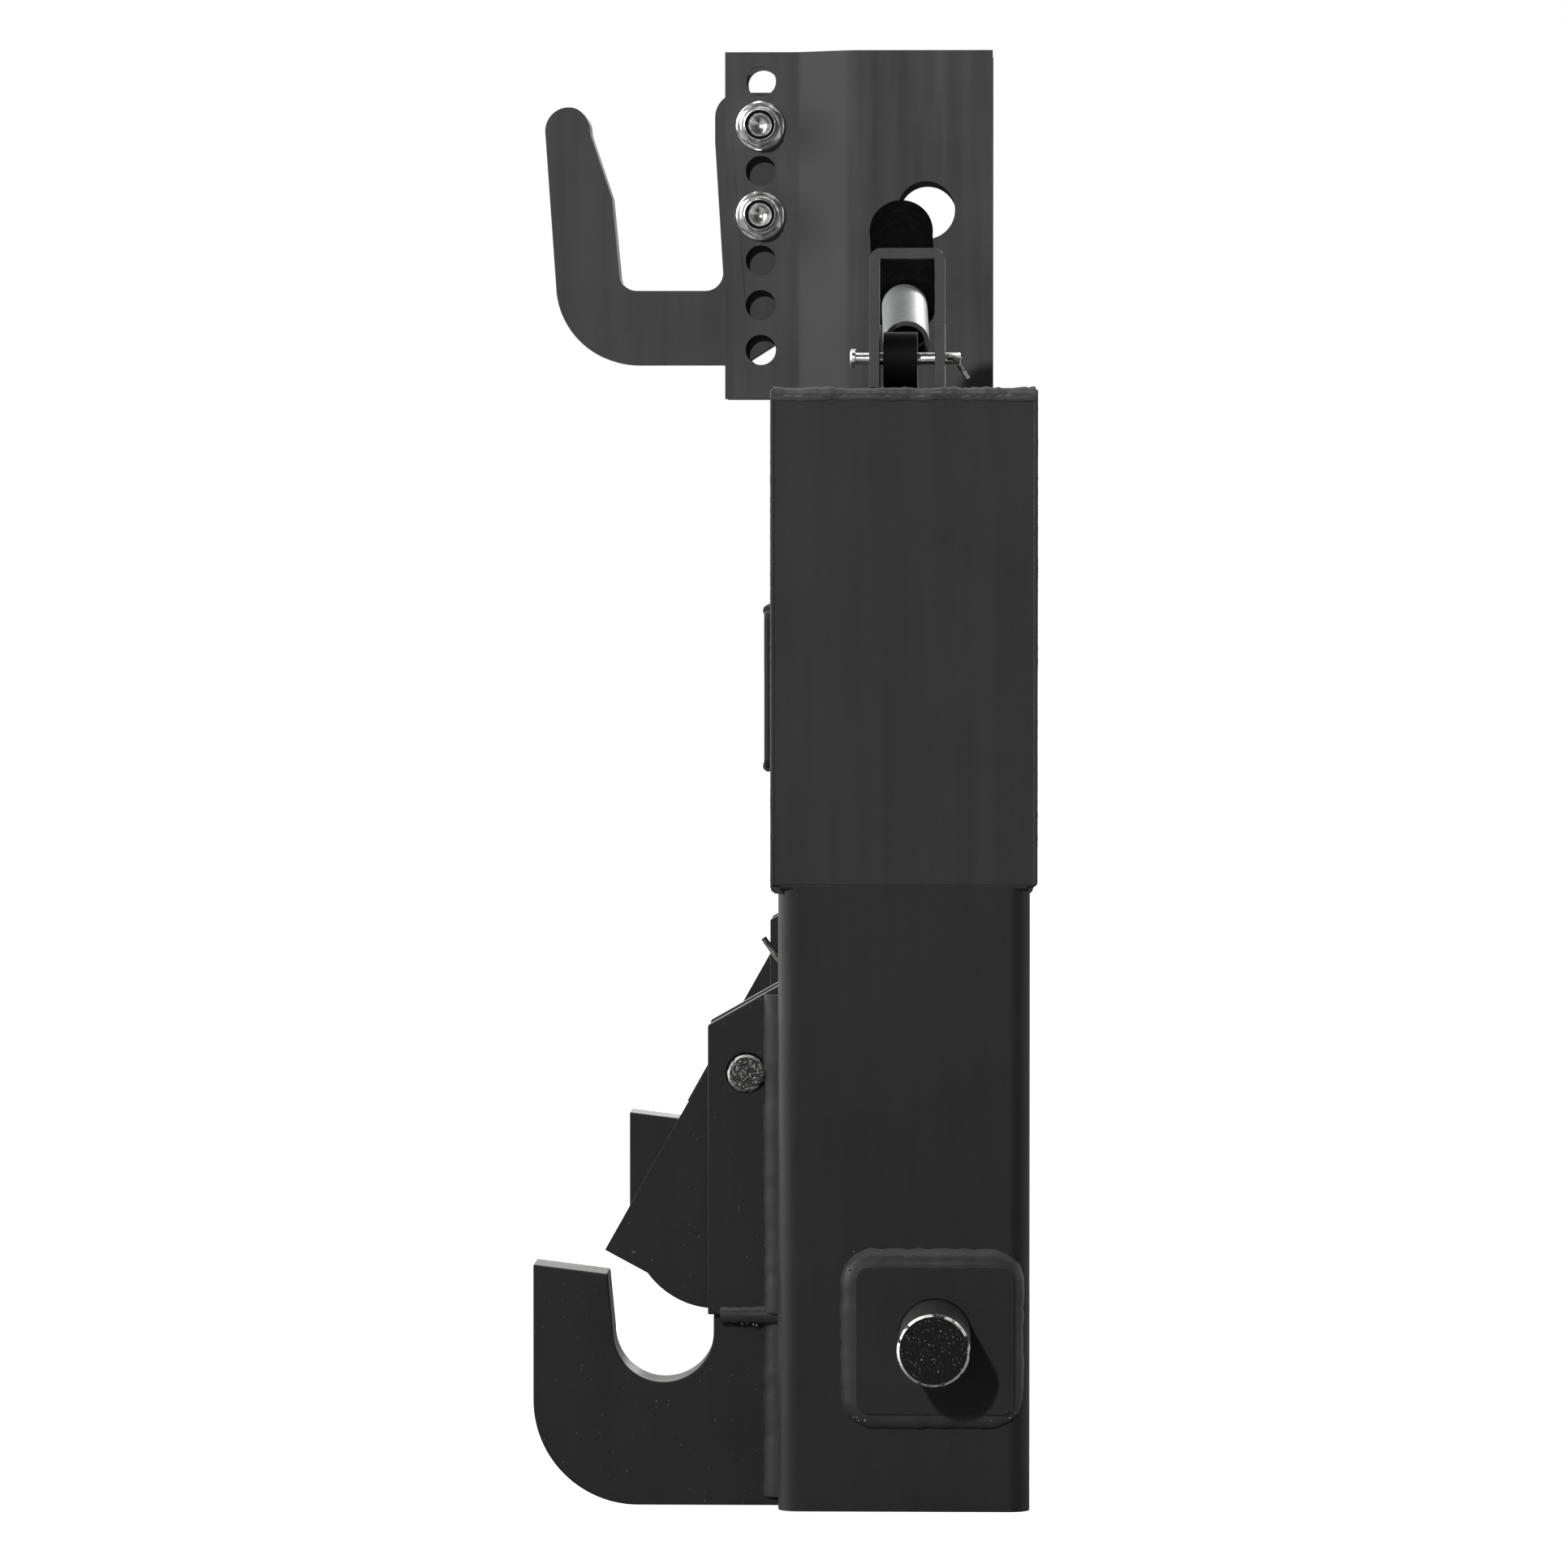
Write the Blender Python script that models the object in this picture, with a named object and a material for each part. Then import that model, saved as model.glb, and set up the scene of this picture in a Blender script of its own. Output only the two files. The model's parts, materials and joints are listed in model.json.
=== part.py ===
"""Three point quick hitch for a tractor, seen along its crossbeam.

Metres, +Z up. +X points to the tractor, the hooks open upwards on the -X side, and Y runs along the
crossbeam. The frame of the code has X = 0 in the middle of the crossbeam and Z = 0 under the hooks;
one parent empty moves the whole model so that its origin is the centre of its footprint.
"""

import math

import bmesh
import bpy
from mathutils import Matrix, Vector

# Fits
FIT = 0.0003
OVERCUT = 0.004
ROUND_STEPS = 20
SMALL_STEPS = 14
FILLET_STEPS = 5

# Crossbeam and legs
HOOK_SPACING = 0.825
LEG_SIZE = 0.100
LEG_WALL = 0.006
LEG_CORNER = 0.008
LEG_BOTTOM = 0.0021
LEG_HEIGHT = 0.248
BEAM_DEPTH = 0.106
BEAM_HEIGHT = 0.1975
BEAM_WALL = 0.006
BEAM_CORNER = 0.007
CAP_THICKNESS = 0.006
CAP_CORNER = 0.002
PAD_SIZE = 0.062
PAD_THICKNESS = 0.0027
PAD_RISE = 0.0781
PAD_INSET = 0.019

# Lower hooks
HOOK_THICKNESS = 0.025
HOOK_MOUTH = 0.0403
HOOK_MOUTH_REACH = 0.0470
HOOK_MOUTH_FLARE = 0.0022
HOOK_SEAT_HEIGHT = 0.0699
HOOK_TIP_WIDTH = 0.0322
HOOK_TIP_HEIGHT = 0.0969
HOOK_TIP_DROP = 0.0038
HOOK_OUTER_RADIUS = 0.042

# Latches, their cheeks and pivots
CHEEK_THICKNESS = 0.006
CHEEK_DEPTH = 0.0289
CHEEK_FRONT_RISE = 0.0192
CHEEK_REAR_RISE = 0.0354
LATCH_THICKNESS = 0.022
LATCH_CLEARANCE = 0.0008
LATCH_PIVOT_REACH = 0.0134
LATCH_PIVOT_Z = 0.1743
LATCH_PIN_DIAMETER = 0.0152
LATCH_PIN_PROUD = 0.003
LATCH_PIN_TAIL = 0.013
LATCH_EDGE_OFFSET = 0.0147
LATCH_NOSE_RADIUS = 0.0917
LATCH_KNEE = (-0.0400, -0.0810)
LATCH_HEEL_CENTRE = (-0.0120, -0.0607)
LATCH_SWING = math.radians(29.3)
LATCH_ARM_HALF = 0.011
HAIRPIN_WIRE = 0.003
HAIRPIN_LENGTH = 0.0186
HAIRPIN_TILTS = {"right": math.radians(-85), "left": math.radians(-59)}

# Pull rods and springs
ROD_X = -0.0017
ROD_DIAMETER = 0.012
ROD_GUIDE_CLEARANCE = 0.0008
YOKE_WALL = 0.006
YOKE_WIDTH = 0.024
YOKE_DROP = 0.012
YOKE_CLEAR_HEIGHT = 0.022
YOKE_BRIDGE = 0.008
LATCH_ROD_PIN_DIAMETER = 0.010
TANG_THICKNESS = 0.006
TANG_WALL = 0.0045
CRANK_PIN_DIAMETER = 0.008
SPRING_WIRE = 0.003
SPRING_DIAMETER = 0.022
SPRING_LENGTH = 0.078
SPRING_TURNS = 7
SEAT_THICKNESS = 0.005
SEAT_LENGTH = 0.050
COLLAR_DIAMETER = 0.026
COLLAR_HEIGHT = 0.008
COLLAR_RISE = 0.0573

# Release levers
LEVER_SWING = math.radians(60)
LEVER_REST = math.radians(15.3)
LEVER_LEAN = math.radians(1.5)
LEVER_PIVOT_RISE = 0.0118
LEVER_LENGTH = 0.220
KNUCKLE_WIDTH = 0.0134
KNUCKLE_RADIUS = 0.0106
KNUCKLE_BLOCK = 0.024
CRANK_EYE_RADIUS = 0.008
FORK_ROOT = 0.0175
TUBE_DIAMETER = 0.0186
TUBE_WALL = 0.002
GRIP_DIAMETER = 0.0268
GRIP_LENGTH = 0.134
GRIP_END = 0.004
BRACKET_X = 0.0011
BRACKET_WIDTH = 0.0300
BRACKET_WALL = 0.004
BRACKET_HEIGHT = 0.0554
EAR_HEIGHT = 0.0256
BRACKET_BEND = 0.0046
EAR_LENGTH = 0.028
STRAP_LENGTH = 0.012
STOP_GAP = 0.0005
PIVOT_PIN_DIAMETER = 0.005
PIVOT_PIN_HEAD = 0.008
PIVOT_HEAD_THICKNESS = 0.002
PIVOT_PIN_LEFT = -0.0216
PIVOT_PIN_RIGHT = 0.0222
COTTER_WIRE = 0.0018
COTTER_EYE_RADIUS = 0.0021
COTTER_DROP = 0.0078

# Lift pins
LIFT_PIN_X = 0.0126
LIFT_PIN_Z = 0.0732
LIFT_PIN_DIAMETER = 0.0286
LIFT_PIN_LENGTH = 0.060
LIFT_PIN_CHAMFER = 0.0016
LINCH_HOLE = 0.0115
LINCH_HOLE_INSET = 0.012
PIN_PLATE_WIDTH = 0.0625
PIN_PLATE_HEIGHT = 0.0585
PIN_PLATE_DROP = 0.0022
PIN_PLATE_THICKNESS = 0.008
PIN_PLATE_CORNER = 0.005

# Tower
TOWER_THICKNESS = 0.008
TOWER_HEIGHT = 0.155
TOWER_FRONT_X = -0.0865
TOWER_BEND_START_X = -0.0515
TOWER_BEND_END_X = -0.0253
TOWER_BACK_X = 0.0333
TOWER_WIDE_GAP = 0.058
TOWER_BEND_RADIUS = 0.006
ADJUST_HOLE = 0.0135
ADJUST_COLUMN_X = -0.0705
ADJUST_FIRST_RISE = 0.022
ADJUST_PITCH = 0.020
ADJUST_COUNT = 7
ADJUST_USED = (3, 5)
TOP_LINK_HOLE = 0.0258
TOP_LINK_X = 0.0036
TOP_LINK_RISE = 0.0839

# Top hook
TOP_HOOK_THICKNESS = 0.025
TOP_HOOK_SEAT_DROP = 0.0334
TOP_HOOK_FLOOR_DEPTH = 0.0332
TOP_HOOK_TIP_RISE = 0.0823
TOP_HOOK_HEAD_RISE = 0.0153
TOP_HOOK_TIP_REACH = 0.0412
TOP_HOOK_TIP_RADIUS = 0.0107
TOP_HOOK_FLOOR_WIDTH = 0.0307
TOP_HOOK_SHANK_DEPTH = 0.0252
TOP_HOOK_SEAT_RADIUS = 0.008
TOP_HOOK_MOUTH_LEAN = 0.0036
TOP_HOOK_OUTER_RADIUS = 0.0364
TOP_HOOK_HEAD_RADIUS = 0.011
TOP_HOOK_BACK_DEPTH = 0.0143
TOP_HOOK_CHAMFER_WIDTH = 0.0226
TOP_HOOK_CHAMFER_HEIGHT = 0.0144

# Top hook fasteners
BOLT_DIAMETER = 0.012
BOLT_HEAD_HEIGHT = 0.0075
NUT_FLATS = 0.018
NUT_HEIGHT = 0.0085
NUT_COLLAR_DIAMETER = 0.0150
NUT_COLLAR_HEIGHT = 0.0035
WASHER_DIAMETER = 0.0220
WASHER_THICKNESS = 0.002
BOLT_END_SINK = 0.001

# Worked out from the above
LEG_Y = HOOK_SPACING / 2
LEG_TOP = LEG_BOTTOM + LEG_HEIGHT
LEG_FACE_X = -LEG_SIZE / 2
BEAM_BOTTOM = LEG_TOP + FIT
BEAM_TOP = BEAM_BOTTOM + BEAM_HEIGHT
BEAM_END_Y = LEG_Y + LEG_SIZE / 2
CHEEK_GAP = HOOK_THICKNESS + 2 * FIT
CHEEK_OUTER = CHEEK_GAP / 2 + CHEEK_THICKNESS
HOOK_MOUTH_X = LEG_FACE_X - HOOK_MOUTH_REACH
LATCH_PIVOT_X = LEG_FACE_X - LATCH_PIVOT_REACH
LATCH_HEEL_RADIUS = math.dist(LATCH_KNEE, LATCH_HEEL_CENTRE)
LATCH_REACH = math.hypot(*LATCH_HEEL_CENTRE) + LATCH_HEEL_RADIUS
HOOK_SHOULDER_Z = LATCH_PIVOT_Z - LATCH_REACH - LATCH_CLEARANCE
CHEEK_FRONT_TOP = LATCH_PIVOT_Z + CHEEK_FRONT_RISE
CHEEK_REAR_TOP = LATCH_PIVOT_Z + CHEEK_REAR_RISE
COLLAR_TOP = BEAM_BOTTOM + BEAM_WALL + COLLAR_RISE + COLLAR_HEIGHT
SEAT_HEIGHT = COLLAR_TOP + SPRING_LENGTH + 2 * FIT
LEVER_PIVOT_Z = BEAM_TOP + LEVER_PIVOT_RISE
BRACKET_TOP = BEAM_TOP + BRACKET_HEIGHT
EAR_TOP = BEAM_TOP + EAR_HEIGHT
PAD_HEIGHT = BEAM_BOTTOM + PAD_RISE
LATCH_ARM_REST = LATCH_SWING / 2
LATCH_ARM = 2 * (ROD_X - LATCH_PIVOT_X) / (1 + math.cos(LATCH_ARM_REST))
PULL_TRAVEL = 2 * LATCH_ARM * math.sin(LATCH_SWING / 2)
CRANK_REST = LEVER_SWING / 2
CRANK_RADIUS = PULL_TRAVEL / (2 * math.sin(LEVER_SWING / 2))
LEVER_PIVOT_Y = LEG_Y + CRANK_RADIUS * (1 + math.cos(CRANK_REST)) / 2
LATCH_ROD_PIN_Z = LATCH_PIVOT_Z - LATCH_ARM * math.sin(LATCH_ARM_REST)
CRANK_PIN_Z = LEVER_PIVOT_Z - CRANK_RADIUS * math.sin(CRANK_REST)
LATCH_EYE_PLAY = LATCH_ARM * (1 - math.cos(LATCH_ARM_REST)) / 2 + FIT
CRANK_EYE_PLAY = CRANK_RADIUS * (1 - math.cos(CRANK_REST)) / 2 + FIT
KNUCKLE_X = ROD_X
TUBE_X = KNUCKLE_X + (TUBE_DIAMETER - KNUCKLE_WIDTH) / 2
LIFT_PIN_END_Y = BEAM_END_Y + FIT + PIN_PLATE_THICKNESS + LIFT_PIN_LENGTH
TOWER_BOTTOM = BEAM_TOP + FIT
TOWER_TOP = TOWER_BOTTOM + TOWER_HEIGHT
TOWER_NARROW_GAP = TOP_HOOK_THICKNESS + 2 * FIT
NARROW_OUTER_Y = TOWER_NARROW_GAP / 2 + TOWER_THICKNESS
WIDE_OUTER_Y = TOWER_WIDE_GAP / 2 + TOWER_THICKNESS
TOP_LINK_Z = TOWER_BOTTOM + TOP_LINK_RISE
ADJUST_HEIGHTS = [TOWER_BOTTOM + ADJUST_FIRST_RISE + ADJUST_PITCH * index for index in range(ADJUST_COUNT)]
LOWER_BOLT_Z, UPPER_BOLT_Z = (ADJUST_HEIGHTS[index] for index in ADJUST_USED)
TOP_HOOK_SEAT_Z = LOWER_BOLT_Z - TOP_HOOK_SEAT_DROP
TOP_HOOK_BOTTOM_Z = TOP_HOOK_SEAT_Z - TOP_HOOK_FLOOR_DEPTH
TOP_HOOK_TIP_TOP_Z = TOP_HOOK_SEAT_Z + TOP_HOOK_TIP_RISE
TOP_HOOK_HEAD_TOP_Z = UPPER_BOLT_Z + TOP_HOOK_HEAD_RISE
TOP_HOOK_BACK_X = ADJUST_COLUMN_X + TOP_HOOK_BACK_DEPTH
TOP_HOOK_FLOOR_RIGHT_X = ADJUST_COLUMN_X - TOP_HOOK_SHANK_DEPTH
TOP_HOOK_FLOOR_LEFT_X = TOP_HOOK_FLOOR_RIGHT_X - TOP_HOOK_FLOOR_WIDTH
TOP_HOOK_FRONT_X = TOP_HOOK_FLOOR_LEFT_X - TOP_HOOK_TIP_REACH
ORIGIN_X = (TOP_HOOK_FRONT_X + BEAM_DEPTH / 2) / 2

SIDES = (("right", -1), ("left", 1))

# Colours as linear values: name, base colour, roughness, metallic
FINISHES = {
    "frame_paint": ((0.026, 0.026, 0.027), 0.45, 0.0),
    "tower_paint": ((0.055, 0.055, 0.056), 0.42, 0.0),
    "hook_paint": ((0.020, 0.020, 0.021), 0.50, 0.0),
    "black_steel": ((0.012, 0.012, 0.012), 0.40, 0.4),
    "raw_steel": ((0.180, 0.178, 0.175), 0.50, 0.9),
    "zinc": ((0.560, 0.560, 0.550), 0.35, 0.9),
    "spring_steel": ((0.200, 0.200, 0.205), 0.40, 0.9),
    "rubber": ((0.010, 0.010, 0.010), 0.75, 0.0),
}


def clear_scene():
    """Remove what the start-up file holds."""
    for item in list(bpy.data.objects):
        bpy.data.objects.remove(item, do_unlink=True)


def finish_material(finish):
    """Return the Principled material of one finish, made on first use."""
    material = bpy.data.materials.get(finish)
    if material is None:
        colour, roughness, metallic = FINISHES[finish]
        material = bpy.data.materials.new(finish)
        material.use_nodes = True
        shader = material.node_tree.nodes["Principled BSDF"]
        shader.inputs["Base Color"].default_value = (*colour, 1.0)
        shader.inputs["Roughness"].default_value = roughness
        shader.inputs["Metallic"].default_value = metallic
    return material


def empty(name, parent=None, location=(0, 0, 0)):
    """Add an empty that carries pieces or marks a joint's axis."""
    holder = bpy.data.objects.new(name, None)
    holder.empty_display_size = 0.05
    bpy.context.collection.objects.link(holder)
    holder.parent = parent
    holder.location = location
    return holder


def piece(name, shape, finish, parent, location=(0, 0, 0)):
    """Turn a bmesh into a named object of one finish on its parent."""
    bmesh.ops.remove_doubles(shape, verts=shape.verts, dist=1e-6)
    bmesh.ops.recalc_face_normals(shape, faces=shape.faces)
    mesh = bpy.data.meshes.new(name)
    shape.to_mesh(mesh)
    shape.free()
    mesh.shade_smooth()
    mesh.set_sharp_from_angle(angle=math.radians(35))
    mesh.materials.append(finish_material(finish))
    made = bpy.data.objects.new(name, mesh)
    bpy.context.collection.objects.link(made)
    made.parent = parent
    made.location = location
    return made


def combine(target, shape, operation="DIFFERENCE"):
    """Cut a shape out of a piece, or join it on, with an exact Boolean."""
    tool = piece(f"{target.name}_tool_{len(target.modifiers)}", shape, "raw_steel", target.parent, target.location)
    tool.hide_render = True
    tool.display_type = "WIRE"
    modifier = target.modifiers.new(operation.lower(), "BOOLEAN")
    modifier.operation = operation
    modifier.solver = "EXACT"
    modifier.object = tool
    return target


def arc(centre, radius, start, end, steps=FILLET_STEPS):
    """Points along an arc, angles in degrees."""
    points = []
    for step in range(steps + 1):
        angle = math.radians(start + (end - start) * step / steps)
        points.append((centre[0] + radius * math.cos(angle), centre[1] + radius * math.sin(angle)))
    return points


def rounded(centre, width, height, radius, steps=FILLET_STEPS):
    """Outline of a rectangle with round corners."""
    right = centre[0] + width / 2 - radius
    left = centre[0] - width / 2 + radius
    top = centre[1] + height / 2 - radius
    bottom = centre[1] - height / 2 + radius
    outline = []
    for x, y, start in ((right, top, 0), (left, top, 90), (left, bottom, 180), (right, bottom, 270)):
        outline += arc((x, y), radius, start, start + 90, steps)
    return outline


def circle(centre, radius, steps=ROUND_STEPS):
    """Outline of a round hole or bar."""
    return arc(centre, radius, 0, 360, steps)[:-1]


def capsule(centre, half_length, radius, tilt=0.0, steps=10):
    """Outline of a slot: two half rounds, tilted by an angle in radians."""
    along = Vector((math.cos(tilt), math.sin(tilt))) * half_length
    turn = math.degrees(tilt)
    near = (centre[0] - along.x, centre[1] - along.y)
    far = (centre[0] + along.x, centre[1] + along.y)
    return arc(far, radius, turn - 90, turn + 90, steps) + arc(near, radius, turn + 90, turn + 270, steps)


def hexagon(centre, flats):
    """Outline of a hexagon by its width across flats, with a flat on top."""
    return arc(centre, flats / math.sqrt(3), 0, 360, 6)[:-1]


def place(axis, point, along):
    """Put an outline's point in space: x takes (y, z), y takes (x, z) and z takes (x, y)."""
    first, second = point
    return {"x": (along, first, second), "y": (first, along, second), "z": (first, second, along)}[axis]


def extrusion(outline, axis, low, high):
    """Closed plate or bar: an outline run along an axis from low to high."""
    shape = bmesh.new()
    floor = shape.faces.new([shape.verts.new(place(axis, point, low)) for point in outline])
    grown = bmesh.ops.extrude_face_region(shape, geom=[floor])
    raised = [item for item in grown["geom"] if isinstance(item, bmesh.types.BMVert)]
    shift = Vector(place(axis, (0, 0), high - low))
    bmesh.ops.translate(shape, verts=raised, vec=shift)
    return shape


def box(x, y, z):
    """Closed block between three pairs of limits."""
    corners = [(x[0], y[0]), (x[1], y[0]), (x[1], y[1]), (x[0], y[1])]
    return extrusion(corners, "z", z[0], z[1])


def pipe(outer, inner, axis, low, high):
    """Open tube between two outlines that have the same number of points."""
    shape = bmesh.new()
    rings = []
    for outline, along in ((outer, low), (outer, high), (inner, high), (inner, low)):
        rings.append([shape.verts.new(place(axis, point, along)) for point in outline])
    count = len(outer)
    for ring, following in zip(rings, rings[1:] + rings[:1]):
        for index in range(count):
            after = (index + 1) % count
            shape.faces.new((ring[index], ring[after], following[after], following[index]))
    return shape


def turned(profile, axis, centre, steps=ROUND_STEPS):
    """Round piece from a profile of (radius, place along the axis) pairs that starts and ends on it."""
    shape = bmesh.new()
    line = []
    for radius, along in profile:
        line.append(shape.verts.new(place(axis, (centre[0] + radius, centre[1]), along)))
    edges = [shape.edges.new(pair) for pair in zip(line, line[1:])]
    direction = Vector(place(axis, (0, 0), 1))
    middle = Vector(place(axis, centre, 0))
    geometry = line + edges
    bmesh.ops.spin(shape, geom=geometry, cent=middle, axis=direction, angle=math.tau, steps=steps, use_merge=True)
    return shape


def chamfered_pin(radius, low, high, chamfer):
    """Profile of a plain pin with a chamfer at both ends."""
    return [(0, low), (radius - chamfer, low), (radius, low + chamfer), (radius, high - chamfer),
            (radius - chamfer, high), (0, high)]


def sweep(name, points, wire, finish, parent, location=(0, 0, 0), bevel_steps=2):
    """Bent wire: a curve with a round bevel and closed ends."""
    curve = bpy.data.curves.new(name, "CURVE")
    curve.dimensions = "3D"
    curve.bevel_depth = wire / 2
    curve.bevel_resolution = bevel_steps
    curve.use_fill_caps = True
    spline = curve.splines.new("POLY")
    spline.points.add(len(points) - 1)
    for target, point in zip(spline.points, points):
        target.co = (*point, 1.0)
    curve.materials.append(finish_material(finish))
    made = bpy.data.objects.new(name, curve)
    bpy.context.collection.objects.link(made)
    made.parent = parent
    made.location = location
    return made


def build_crossbeam(frame):
    """Box tube with a slot over and a guide hole under each pull rod."""
    middle = (0, (BEAM_BOTTOM + BEAM_TOP) / 2)
    tube_end = BEAM_END_Y - CAP_THICKNESS - FIT
    outer = rounded(middle, BEAM_DEPTH, BEAM_HEIGHT, BEAM_CORNER)
    inner = rounded(middle, BEAM_DEPTH - 2 * BEAM_WALL, BEAM_HEIGHT - 2 * BEAM_WALL, BEAM_CORNER - BEAM_WALL)
    beam = piece("crossbeam", pipe(outer, inner, "y", -tube_end, tube_end), "frame_paint", frame)
    slot_half_width = KNUCKLE_WIDTH / 2 + 0.001
    slot_inner = LEVER_PIVOT_Y - CRANK_RADIUS - CRANK_EYE_RADIUS - 0.002
    for _, side in SIDES:
        slot_ends = sorted((side * slot_inner, side * LEVER_PIVOT_Y))
        slot_x = (KNUCKLE_X - slot_half_width, KNUCKLE_X + slot_half_width)
        combine(beam, box(slot_x, slot_ends, (BEAM_TOP - BEAM_WALL - OVERCUT, BEAM_TOP + OVERCUT)))
        guide = circle((ROD_X, side * LEG_Y), ROD_DIAMETER / 2 + ROD_GUIDE_CLEARANCE)
        combine(beam, extrusion(guide, "z", BEAM_BOTTOM - OVERCUT, BEAM_BOTTOM + BEAM_WALL + OVERCUT))


def build_beam_end(frame, word, side):
    """Flat cap on the crossbeam's end, the pad beside it and the spring's fixed seat inside."""
    middle = (0, (BEAM_BOTTOM + BEAM_TOP) / 2)
    cap = rounded(middle, BEAM_DEPTH, BEAM_HEIGHT, CAP_CORNER)
    ends = sorted((side * BEAM_END_Y, side * (BEAM_END_Y - CAP_THICKNESS)))
    piece(f"{word}_beam_end_cap", extrusion(cap, "y", *ends), "frame_paint", frame)

    pad_outer = BEAM_END_Y - PAD_INSET
    pad = rounded((side * (pad_outer - PAD_SIZE / 2), PAD_HEIGHT), PAD_SIZE, PAD_SIZE, 0.003)
    pad_back = -BEAM_DEPTH / 2 - FIT
    piece(f"{word}_beam_pad", extrusion(pad, "x", pad_back - PAD_THICKNESS, pad_back), "frame_paint", frame)

    reach = BEAM_DEPTH / 2 - BEAM_WALL - FIT
    seat_ends = sorted((side * (LEG_Y - SEAT_LENGTH / 2), side * (LEG_Y + SEAT_LENGTH / 2)))
    seat = box((-reach, reach), seat_ends, (SEAT_HEIGHT, SEAT_HEIGHT + SEAT_THICKNESS))
    plate = piece(f"{word}_spring_seat", seat, "raw_steel", frame)
    hole = circle((ROD_X, side * LEG_Y), ROD_DIAMETER / 2 + ROD_GUIDE_CLEARANCE)
    combine(plate, extrusion(hole, "z", SEAT_HEIGHT - OVERCUT, SEAT_HEIGHT + SEAT_THICKNESS + OVERCUT))


def build_leg(frame, word, side):
    """Square tube with a slot for the latch in its hook side and a hole for the lift pin outside."""
    centre = (0, side * LEG_Y)
    outer = rounded(centre, LEG_SIZE, LEG_SIZE, LEG_CORNER)
    inside = LEG_SIZE - 2 * LEG_WALL
    inner = rounded(centre, inside, inside, LEG_CORNER - LEG_WALL)
    leg = piece(f"{word}_leg", pipe(outer, inner, "z", LEG_BOTTOM, LEG_TOP), "frame_paint", frame)
    half = LATCH_THICKNESS / 2 + LATCH_CLEARANCE
    slot_ends = (side * LEG_Y - half, side * LEG_Y + half)
    arm_rise = (LATCH_PIVOT_REACH + LEG_WALL) * math.tan(LATCH_ARM_REST)
    slot_top = LATCH_PIVOT_Z + arm_rise + LATCH_EDGE_OFFSET / math.cos(LATCH_ARM_REST) + LATCH_CLEARANCE
    slot_x = (LEG_FACE_X - OVERCUT, LEG_FACE_X + LEG_WALL + OVERCUT)
    combine(leg, box(slot_x, slot_ends, (HOOK_SHOULDER_Z, slot_top)))
    hole = circle((LIFT_PIN_X, LIFT_PIN_Z), LIFT_PIN_DIAMETER / 2 + FIT, 32)
    ends = sorted((side * (BEAM_END_Y - LEG_WALL - OVERCUT), side * (BEAM_END_Y + OVERCUT)))
    combine(leg, extrusion(hole, "y", *ends))


def lower_hook_outline():
    """Flame-cut hook from the leg's foot round the outer corner, tip and mouth."""
    half = HOOK_MOUTH / 2
    back = LEG_FACE_X - FIT
    tip_right = HOOK_MOUTH_X - half
    tip_left = tip_right - HOOK_TIP_WIDTH
    corner = (tip_left + HOOK_OUTER_RADIUS, HOOK_OUTER_RADIUS)
    outline = [(back, HOOK_SHOULDER_Z), (back, 0)]
    outline += arc(corner, HOOK_OUTER_RADIUS, 270, 180, 14)
    outline += [(tip_left, HOOK_TIP_HEIGHT), (tip_right - HOOK_MOUTH_FLARE, HOOK_TIP_HEIGHT - HOOK_TIP_DROP)]
    outline += arc((HOOK_MOUTH_X, HOOK_SEAT_HEIGHT), half, 180, 360, 20)
    outline += [(HOOK_MOUTH_X + half, HOOK_SHOULDER_Z)]
    return outline


def build_lower_hook(frame, word, side):
    """Lower hook plate and the two cheeks that carry its latch."""
    low = side * LEG_Y - HOOK_THICKNESS / 2
    hook = extrusion(lower_hook_outline(), "y", low, low + HOOK_THICKNESS)
    piece(f"{word}_lower_hook", hook, "hook_paint", frame)

    back = LEG_FACE_X - FIT
    front = LEG_FACE_X - CHEEK_DEPTH
    outline = [(back, HOOK_SHOULDER_Z + FIT), (back, CHEEK_REAR_TOP), (front, CHEEK_FRONT_TOP),
               (front, HOOK_SHOULDER_Z + FIT)]
    for place_word, outward in (("outer", side), ("inner", -side)):
        ends = sorted((side * LEG_Y + outward * CHEEK_GAP / 2, side * LEG_Y + outward * CHEEK_OUTER))
        cheek = piece(f"{word}_{place_word}_latch_cheek", extrusion(outline, "y", *ends), "hook_paint", frame)
        hole = circle((LATCH_PIVOT_X, LATCH_PIVOT_Z), LATCH_PIN_DIAMETER / 2 + FIT)
        combine(cheek, extrusion(hole, "y", ends[0] - OVERCUT, ends[1] + OVERCUT))


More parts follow.
